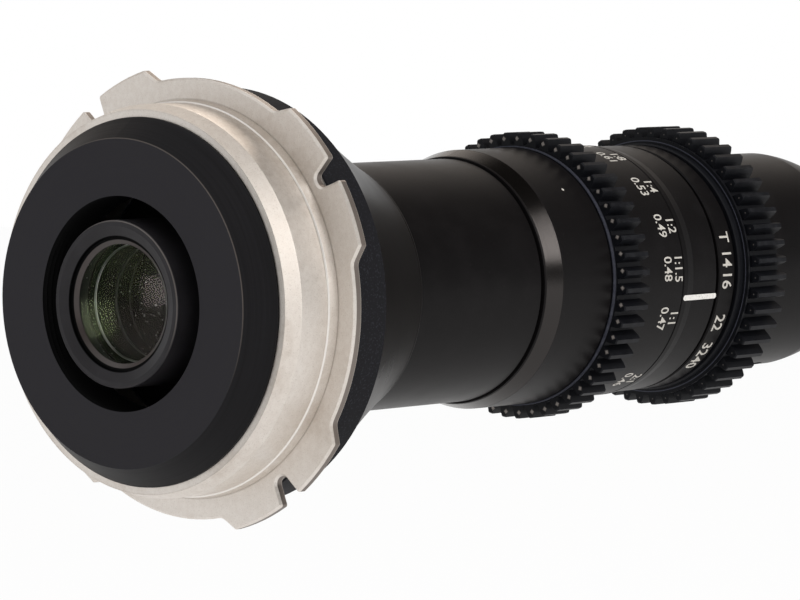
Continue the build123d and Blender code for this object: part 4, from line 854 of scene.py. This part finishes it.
class LENS_OT_inside(Operator):
    """Finishes of the mechanism inside the barrel"""

    bl_idname = "lens.inside"
    bl_label = "Mechanism"

    def execute(self, context):
        inner = black_turned(
            "inner_black", (0.0035, 0.0035, 0.0036), rough=0.5, specular=0.03, grain_depth=0.012,
            line_depth=0.02,
        )
        dress(inner, "rear_lock_ring", "rear_spacer", "main_sleeve", "focus_cam_sleeve", "focus_carrier",
              "relay_tube", "relay_spacers", "relay_retainers", "iris_base", "iris_cover",
              "objective_spacer", "objective_retainer")
        dress(turned_metal("pin_brass", (0.62, 0.45, 0.20), rough=0.25), "cam_pins", "iris_rotor")
        steel = turned_metal("pin_steel", (0.48, 0.48, 0.49), rough=0.26)
        dress(steel, "focus_drive_screws", "aperture_pin")
        leaf = black_turned(
            "blade_black", (0.014, 0.014, 0.016), rough=0.34, specular=0.5, grain_depth=0.004,
            line_depth=0.004,
        )
        dress(leaf, *[f"iris_blade_{count}" for count in range(1, 8)])
        return {"FINISHED"}


class LENS_OT_lights(Operator):
    """Finishes of the tip's lights, their cable and socket, and the seal"""

    bl_idname = "lens.lights"
    bl_label = "Lights of the tip"

    def execute(self, context):
        board = moulded("board_white", (0.78, 0.78, 0.74), (0.66, 0.67, 0.62), rough=0.42)
        dress(board, "led_board")
        chip = moulded("chip_yellow", (0.86, 0.72, 0.22), (0.78, 0.60, 0.15), rough=0.3, scale=5200.0)
        dress(chip, "leds")
        frosted = moulded(
            "diffuser_white", (0.86, 0.86, 0.84), (0.74, 0.75, 0.74), rough=0.55, scale=3800.0,
            depth=0.02, Subsurface_Weight=0.3, Subsurface_Radius=(MM, MM, MM),
        )
        dress(frosted, "diffuser_ring")
        dress(moulded("cable_amber", (0.42, 0.20, 0.05), (0.34, 0.15, 0.04), rough=0.35), "led_flex")
        rubber = moulded(
            "seal_black", (0.012, 0.012, 0.012), (0.02, 0.02, 0.02), rough=0.6, scale=3000.0, depth=0.02
        )
        dress(rubber, "tip_seal")
        dress(turned_metal("socket_steel", (0.46, 0.46, 0.47), rough=0.3), "power_socket")
        return {"FINISHED"}


class LENS_OT_distance_marks(Operator):
    """Figures of the distance scale: ratios over metres"""

    bl_idname = "lens.distance_marks"
    bl_label = "Distance marks"

    marks = (
        (-14.0, "", "∞"), (4.0, "1:16", "0.77"), (25.0, "1:8", "0.61"), (48.0, "1:4", "0.53"),
        (69.0, "1:2", "0.49"), (89.0, "1:1.5", "0.48"), (112.0, "1:1", "0.47"), (149.0, "2:1", "0.46"),
    )

    def execute(self, context):
        sizes = context.scene.lens_sizes
        radius, _, end = top_of("focus_scale_ring")
        middle = end - DISTANCE_FROM_FRONT
        forms = []
        for turn, ratio, metres in self.marks:
            for text, side in ((ratio, 0.5), (metres, -0.5)):
                if not text:
                    continue
                form = figures(text, sizes.figure_height, sizes.figure_relief)
                wrap(form, radius, middle + side * sizes.figure_pitch, turn, DISTANCE_WIDTH)
                forms.append(form)
        paint = figure_paint("distance_paint", context.scene.lens_colours.paint)
        piece("distance_marks", joined(forms, "distance_marks"), paint, "focus_body")
        return {"FINISHED"}


class LENS_OT_stop_marks(Operator):
    """Figures of the aperture scale"""

    bl_idname = "lens.stop_marks"
    bl_label = "Aperture marks"

    marks = (
        (76.0, "T"), (86.0, "14"), (96.0, "16"), (117.0, "22"), (132.0, "32"), (141.0, "40"),
    )

    def execute(self, context):
        sizes = context.scene.lens_sizes
        radius, start, _ = top_of("aperture_ring")
        forms = []
        for turn, text in self.marks:
            form = figures(text, sizes.stop_height, sizes.figure_relief)
            wrap(form, radius, start + STOP_FROM_REAR, turn, STOP_WIDTH)
            forms.append(form)
        paint = figure_paint("stop_paint", context.scene.lens_colours.paint)
        piece("aperture_marks", joined(forms, "aperture_marks"), paint, "aperture_body")
        return {"FINISHED"}


class LENS_OT_index_line(Operator):
    """White index line with rounded ends on the fixed ring between the scales"""

    bl_idname = "lens.index_line"
    bl_label = "Index line"

    def execute(self, context):
        sizes = context.scene.lens_sizes
        radius, start, end = top_of("index_ring")
        reach = (end - start) / 2 - sizes.index_margin - sizes.index_width / 2
        form = bmesh.new()
        bmesh.ops.create_circle(form, cap_ends=True, segments=24, radius=sizes.index_width / 2)
        ahead = [vert for vert in form.verts if vert.co.y > 0.0]
        behind = [vert for vert in form.verts if vert.co.y <= 0.0]
        bmesh.ops.translate(form, verts=ahead, vec=(0.0, reach, 0.0))
        bmesh.ops.translate(form, verts=behind, vec=(0.0, -reach, 0.0))
        raised(form, sizes.figure_relief)
        wrap(form, radius, (start + end) / 2, INDEX_TURN)
        paint = figure_paint("index_paint", context.scene.lens_colours.line)
        piece("index_line", joined([form], "index_line"), paint, "lens_body")
        return {"FINISHED"}


class LENS_OT_focus_dot(Operator):
    """Small light dot on the focus ring"""

    bl_idname = "lens.focus_dot"
    bl_label = "Focus dot"

    def execute(self, context):
        sizes = context.scene.lens_sizes
        radius, _, _ = top_of("focus_ring")
        form = bmesh.new()
        bmesh.ops.create_circle(form, cap_ends=True, segments=16, radius=sizes.dot_width / 2)
        raised(form, sizes.figure_relief)
        wrap(form, radius, DOT_STATION, DOT_TURN)
        paint = figure_paint("dot_paint", context.scene.lens_colours.paint)
        piece("focus_dot", joined([form], "focus_dot"), paint, "focus_body")
        return {"FINISHED"}


class LENS_OT_stage(Operator):
    """Camera at the photograph's view, pale floor, white surround and soft lamps"""

    bl_idname = "lens.stage"
    bl_label = "Studio"

    def execute(self, context):
        context.scene.view_settings.view_transform = "Standard"
        self.camera(context)
        self.floor(context)
        self.surround(context)
        soft_panel(
            "side panel", (-78.0, 30.0), far=1.2, size=(0.46, 0.80), level=6.2, colour=(1.0, 0.975, 0.95)
        )
        ceiling = soft_panel(
            "ceiling", (-60.0, 82.0), far=1.6, size=(1.6, 1.6), level=1.0, colour=(1.0, 0.97, 0.94)
        )
        ceiling.visible_glossy = False
        return {"FINISHED"}

    def camera(self, context):
        """The camera at the photograph's view."""
        data = bpy.data.cameras.new("camera")
        data.lens = FOCAL_LENGTH
        data.sensor_width = SENSOR_WIDTH
        data.clip_start = 0.01
        data.clip_end = 50.0
        camera = bpy.data.objects.new("camera", data)
        back = Vector(VIEW_BACK).normalized()
        up = back.cross(Vector(VIEW_RIGHT)).normalized()
        turn = Matrix((up.cross(back), up, back)).transposed().to_4x4()
        camera.matrix_world = Matrix.Translation(VIEW_PLACE) @ turn
        context.scene.collection.objects.link(camera)
        context.scene.camera = camera

    def floor(self, context):
        """A pale floor that keeps the lens's shadow and is white to the camera elsewhere."""
        sizes = context.scene.lens_sizes
        form = bmesh.new()
        bmesh.ops.create_grid(form, x_segments=1, y_segments=1, size=sizes.floor_size / 2)
        bmesh.ops.translate(form, verts=form.verts, vec=(0.0, 0.0, -sizes.floor_drop))
        mesh = bpy.data.meshes.new("floor")
        form.to_mesh(mesh)
        form.free()
        floor = bpy.data.objects.new("floor", mesh)
        finish = Finish.of_material("pale_floor")
        colour = context.scene.lens_colours.floor
        grain = finish.noise(900.0, 2.0, 0.5)
        shade = finish.mixed(grain * 0.2, colour, tuple(part * 0.97 for part in colour))
        plain = finish.principled(Base_Color=shade, Roughness=0.8, Specular=0.1)
        glow = finish.add("ShaderNodeEmission", inputs={"Color": WHITE, "Strength": 1.0})
        share = finish.seen(0.55) * 0.955
        finish.shine(finish.add("ShaderNodeMixShader", inputs={0: share, 1: plain, 2: glow}))
        finish.material.cycles.emission_sampling = "NONE"
        mesh.materials.append(finish.material)
        context.scene.collection.objects.link(floor)

    def surround(self, context):
        """A pale room with a bright wall behind the camera, and white where the camera looks."""
        world = bpy.data.worlds.new("surround")
        world.use_nodes = True
        context.scene.world = world
        finish = Finish(world.node_tree, "ShaderNodeOutputWorld")
        direction = finish.add("ShaderNodeTexCoord", output="Generated")
        along, across, up = finish.parts(direction)
        behind = along * 0.76 + across * 0.65
        left = across * 0.76 - along * 0.65
        low = finish.fade(up, 0.40, 0.14)
        wall = finish.fade(behind, 0.0, 0.85) * 0.66 + finish.fade(behind, -0.60, -0.98) * 0.75
        wall = wall + finish.fade(left, 0.2, 0.9) * finish.fade(up, -0.35, 0.25) * 0.75 + 0.25
        wall = wall - finish.fade(left, -0.4, -0.9) * 0.09
        zenith = finish.fade(along, 0.30, -0.25) * finish.fade(up, 0.55, 0.80)
        warm = (1.0 - low) * (finish.fade(behind, 0.50, 0.80) * 0.70 + 0.07)
        wall = low * wall + (1.0 - low) * (zenith * 0.95 + finish.fade(left, 0.4, 0.9) * 0.5)
        tone = finish.add("ShaderNodeCombineXYZ", inputs={
            0: wall + warm, 1: wall + warm * 0.90, 2: wall + warm * 0.81,
        })
        soft = finish.add("ShaderNodeBackground", inputs={"Color": tone, "Strength": 1.0})
        white = finish.add("ShaderNodeBackground", inputs={"Color": WHITE, "Strength": 1.0})
        share = finish.seen(low * finish.fade(behind, 0.5, 0.95))
        finish.shine(finish.add("ShaderNodeMixShader", inputs={0: share, 1: soft, 2: white}))


OPERATORS = (
    LENS_OT_stage, LENS_OT_mount, LENS_OT_adapter, LENS_OT_baffle, LENS_OT_barrel, LENS_OT_gears,
    LENS_OT_glass, LENS_OT_cell_rings, LENS_OT_inside, LENS_OT_lights, LENS_OT_distance_marks,
    LENS_OT_stop_marks, LENS_OT_index_line, LENS_OT_focus_dot,
)


class LENS_PT_making(Panel):
    """Lists the steps that dress the lens"""

    bl_idname = "LENS_PT_making"
    bl_label = "Macro probe lens"
    bl_space_type = "VIEW_3D"
    bl_region_type = "UI"
    bl_category = "Lens"

    def draw(self, context):
        for group in (context.scene.lens_sizes, context.scene.lens_colours):
            box = self.layout.box()
            for name in group.__annotations__:
                box.prop(group, name)
        for operator in OPERATORS:
            self.layout.operator(operator.bl_idname)


CLASSES = (LensSizes, LensColours, *OPERATORS, LENS_PT_making)


def register():
    for item in CLASSES:
        bpy.utils.register_class(item)
    bpy.types.Scene.lens_sizes = PointerProperty(type=LensSizes)
    bpy.types.Scene.lens_colours = PointerProperty(type=LensColours)


def unregister():
    del bpy.types.Scene.lens_colours
    del bpy.types.Scene.lens_sizes
    for item in reversed(CLASSES):
        bpy.utils.unregister_class(item)


def main():
    register()
    bpy.ops.lens.stage()
    bpy.ops.lens.mount()
    bpy.ops.lens.adapter()
    bpy.ops.lens.baffle()
    bpy.ops.lens.barrel()
    bpy.ops.lens.gears()
    bpy.ops.lens.glass()
    bpy.ops.lens.cell_rings()
    bpy.ops.lens.inside()
    bpy.ops.lens.lights()
    bpy.ops.lens.distance_marks()
    bpy.ops.lens.stop_marks()
    bpy.ops.lens.index_line()
    bpy.ops.lens.focus_dot()


if __name__ == "__main__":
    main()
